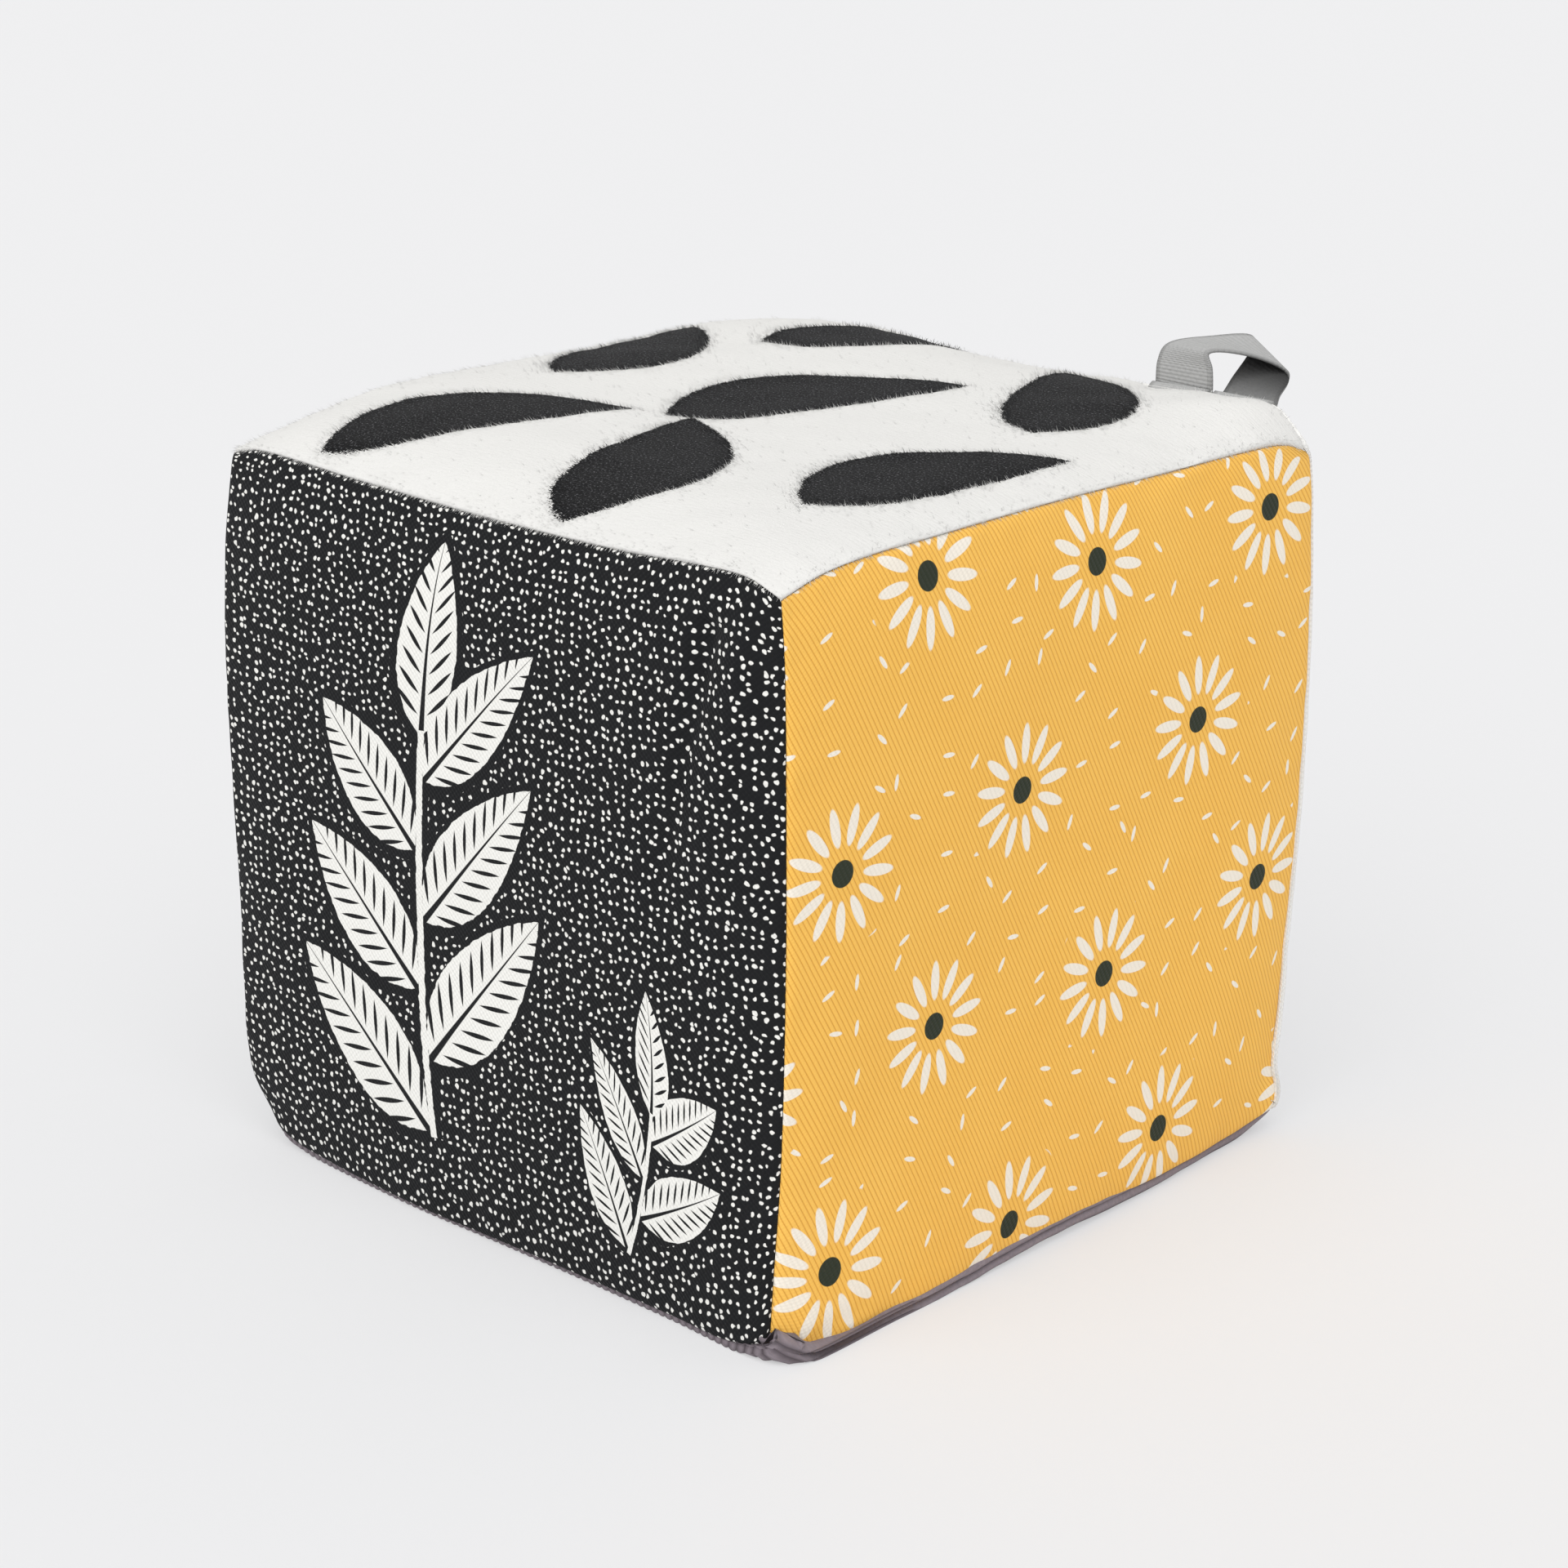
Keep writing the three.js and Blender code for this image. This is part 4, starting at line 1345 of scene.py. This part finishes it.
def smooth_curve(knots, steps):
    """A centripetal Catmull-Rom curve, which runs through its knots without overshooting."""
    ends = [2 * knots[0] - knots[1]], [2 * knots[-1] - knots[-2]]
    points, route = ends[0] + knots + ends[1], []
    for p0, p1, p2, p3 in zip(points, points[1:], points[2:], points[3:]):
        t0, t1 = 0, (p1 - p0).length ** 0.5
        t2 = t1 + (p2 - p1).length ** 0.5
        t3 = t2 + (p3 - p2).length ** 0.5
        for step in range(steps):
            t = t1 + (t2 - t1) * step / steps
            a1, a2, a3 = (
                q.lerp(r, (t - s) / (e - s))
                for q, r, s, e in ((p0, p1, t0, t1), (p1, p2, t1, t2), (p2, p3, t2, t3))
            )
            b1, b2 = a1.lerp(a2, (t - t0) / (t2 - t0)), a2.lerp(a3, (t - t1) / (t3 - t1))
            route.append(b1.lerp(b2, (t - t1) / (t2 - t1)))
    return route + [knots[-1]]


start_xs = LOOP["start_x"], LOOP["start_x"] + LOOP["width"]
left_edge, right_edge = (
    smooth_curve(tape_edge(x, shares), STEPS_PER_KNOT)
    for x, shares in zip(start_xs, (LEFT_KNOT_SHARES, RIGHT_KNOT_SHARES))
)
middles = [a.lerp(b, 0.5) for a, b in zip(left_edge, right_edge)]
TAPE_LENGTH = sum((b - a).length for a, b in zip(middles, middles[1:]))
print("tape length in mm:", round(TAPE_LENGTH / MM, 1))

# %% [markdown]
# The strip is a grid whose rows lie on the route. Solidify gives it the tape's thickness, and the
# material's bump raises the two outer rows a little, because a woven tape has a firm selvedge.

# %% Tape
TAPE_COLUMNS = 14
# FOLD_SHARE, SHADE_REACH and SHADE_EDGE place the painted shade on one side of the tape, by its fold.
FOLD_SHARE, SHADE_REACH, SHADE_EDGE = 0.62, 9.5, 8.5
BAR_SPACING, TAPE_THREAD_SPACING = 0.62, 0.7
SELVEDGE, SELVEDGE_EDGE, SELVEDGE_HEIGHT = 0.9, 0.1, 0.8


def tape_mesh():
    rows = len(middles) - 1
    bm = bmesh.new()
    flat = bm.verts.layers.float_vector.new("cloth")
    bmesh.ops.create_grid(bm, x_segments=TAPE_COLUMNS, y_segments=rows, size=0.5)
    for vert in bm.verts:
        across, row = vert.co.x + 0.5, round((vert.co.y + 0.5) * rows)
        vert[flat] = Vector((across * LOOP["width"], row / rows * TAPE_LENGTH / MM, 0))
        vert.co = left_edge[row].lerp(right_edge[row], across)
    bm.normal_update()
    return mesh_of(bm, "tape")


def thicken(mesh):
    """Gives the strip its thickness, half of it on each side."""
    helper = put("tape_helper", mesh)
    wall = helper.modifiers.new("wall", "SOLIDIFY")
    wall.thickness, wall.offset = LOOP["thick"] * MM, 0
    solid = applied(helper)
    bpy.data.objects.remove(helper)
    solid.shade_smooth()
    # The second half of the solid is one side of the tape. Its "cloth" gets 1 in the third slot, which marks
    # where the painted fold shade goes.
    places = solid.attributes["cloth"].data
    for item in list(places)[len(places) // 2 :]:
        item.vector = (item.vector.x, item.vector.y, 1)
    return solid


def cotton_tape(tree, place):
    """Cotton tape: a fine weave with bars across it, a firm selvedge, and painted shade by its fold."""
    across, along, side = add(tree, "SeparateXYZ", [place]).node.outputs
    turns = add(tree, "Math", [along, 2 * math.pi / BAR_SPACING], "MULTIPLY")
    bars = add(tree, "Math", [turns], "SINE")
    weave = plain_weave(tree, place, TAPE_THREAD_SPACING)
    weave = add(tree, "Math", [weave, 0.9, bars], "MULTIPLY_ADD")
    yarn = add(tree, "TexNoise", {"Vector": place, "Scale": 1.6, "Detail": 3.0})
    colour = add(tree, "Mix", [yarn, "#A2A2A1", "#B9B9B8"], data_type="RGBA")
    from_middle = add(tree, "Math", [across, -LOOP["width"] / 2], "ADD")
    from_middle = add(tree, "Math", [from_middle], "ABSOLUTE")
    body = mask_below(tree, from_middle, LOOP["width"] / 2 - SELVEDGE, SELVEDGE_EDGE)
    colour = add(tree, "Mix", [body, "#A0A09F", colour], data_type="RGBA")
    # Painted shade: one side of the tape is coloured darker near the fold, where a real tape shades itself
    # more than this thin strip does.
    from_fold = add(tree, "Math", [along, -FOLD_SHARE * TAPE_LENGTH / MM], "ADD")
    from_fold = add(tree, "Math", [from_fold], "ABSOLUTE")
    deep = mask_below(tree, from_fold, SHADE_REACH, SHADE_EDGE)
    deep = add(tree, "Math", [deep, side], "MULTIPLY")
    colour = add(tree, "Mix", [deep, colour, "#363636"], data_type="RGBA")
    return colour, add(tree, "Math", [body, -SELVEDGE_HEIGHT, weave], "MULTIPLY_ADD")


woven = fabric("woven_cotton_tape", cotton_tape, bump=0.035, roughness=0.85, sheen=0.05)
ribbon = show("tape_loop", thicken(tape_mesh()), woven)

# %% [markdown]
# ## The sewing thread
# Twelve seams hold the cover together. Each thread is a row of small stitches, sunk between the
# two cloths. The last seam, at the bottom of the back, was closed by hand after the foam went in,
# so its stitches are longer.

# %% Thread
STITCH, HAND_STITCH = 2.4 * MM, 3.4 * MM
THREAD_RADIUS = 0.14 * MM
THREAD_REACH_SHARE = 0.97
STITCH_SHARES, OVERLAP = (0.06, 0.94), 0.56
SUNK = 0.95 * MM
TWIST_SCALE = 0.4 * MM


def stitch_mesh(bm, start, end):
    """One stitch: a slim rod with rounded ends."""
    run = end - start
    made = bmesh.ops.create_uvsphere(bm, u_segments=6, v_segments=5, radius=1)["verts"]
    turn = run.to_track_quat("Z", "Y").to_matrix().to_4x4()
    place = Matrix.Translation((start + end) / 2) @ turn
    shape = Matrix.Diagonal((THREAD_RADIUS, THREAD_RADIUS, run.length * OVERLAP, 1))
    bmesh.ops.transform(bm, matrix=place @ shape, verts=made)


def on_seam(along, axis, signs):
    """A place on a seam. signs has 0 for its own axis, and the side it is on for the others."""
    spot = MIDDLE + stray(signs, along)
    spot[axis] += along * HALF[axis]
    for other in (k for k in (X, Y, Z) if k != axis):
        spot[other] += signs[other] * (HALF[other] - SUNK)
    return spot


def seam_mesh(axis, signs, length):
    count = int(2 * HALF[axis] / length)
    bm = bmesh.new()
    for n in range(count):
        ends = [(-1 + 2 * (n + part) / count) * THREAD_REACH_SHARE for part in STITCH_SHARES]
        stitch_mesh(bm, *(on_seam(along, axis, signs) for along in ends))
    return mesh_of(bm, "thread", smooth=True)


def spun_thread(name, colour):
    """Polyester thread: smooth, faintly shiny, with the twist of its plies."""

    def plies(tree, place):
        twist = add(tree, "TexNoise", {"Vector": place, "Scale": 1 / TWIST_SCALE})
        return add(tree, "Mix", [twist, colour, "#8E8E8C"], data_type="RGBA"), twist

    return fabric(name, plies, bump=0.05, roughness=0.6, sheen=0.0, flat=False)


dark_thread = spun_thread("dark_thread", "#1E1F20")
pale_thread = spun_thread("pale_thread", "#E6E4DF")
threads = []
for axis in (X, Y, Z):
    for pair in ((-1, -1), (-1, 1), (1, -1), (1, 1)):
        signs = list(pair)
        signs.insert(axis, 0)
        dark = signs[Y] == -1
        by_hand = axis == X and signs[Y:] == [1, -1]
        mesh = seam_mesh(axis, tuple(signs), HAND_STITCH if by_hand else STITCH)
        name = f"thread_{'xyz'[axis]}_{len(threads) % 4 + 1}"
        thread = show(name, mesh, dark_thread if dark else pale_thread)
        threads.append((thread, "black_cotton" if dark else "white_cotton"))

# %% [markdown]
# ## Telling the frame
# Each piece now moves with its body, the block, and the CAD pieces that the cloths, the foam and
# the tape stand for are hidden. The tape crosses the joint at the seam, so it follows the block up
# to the seam and the loop beyond it.

# %% Bodies and the hidden CAD parts
CLOTHS = {
    "top": (top, "plush"),
    "front": (front, "black_cotton"),
    "right": (right, "mustard_twill"),
    "back": (back, "white_cotton"),
    "left": (left, "grey_cotton"),
    "bottom": (bottom, "corduroy"),
}

for name, (piece, finish) in CLOTHS.items():
    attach(piece, "block")
    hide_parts(name + "_panel")

for piece, finish in [(pile, "plush"), (foam, "foam"), *threads]:
    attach(piece, "block")

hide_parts("foam_core")

BEND_SIDE = 2.1
turn_x = LOOP["start_x"] + (LOOP["width"] + LOOP["step"]) / 2
start, end = from_seam(turn_x, 0, 0), from_seam(turn_x, BEND_SIDE, BEND_SIDE)
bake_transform(ribbon, "block", "loop", start=tuple(start), end=tuple(end))
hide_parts("ribbon_loop", "ribbon_end_left", "ribbon_end_right")
print("pieces declared:", len(CLOTHS) + len([pile, foam, *threads]) + 1)

# %% Sizes
seen_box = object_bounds()
for label, corners in (("cad", cad_box), ("visual", seen_box)):
    print(label, [[round(x / MM, 1) for x in corner] for corner in corners])
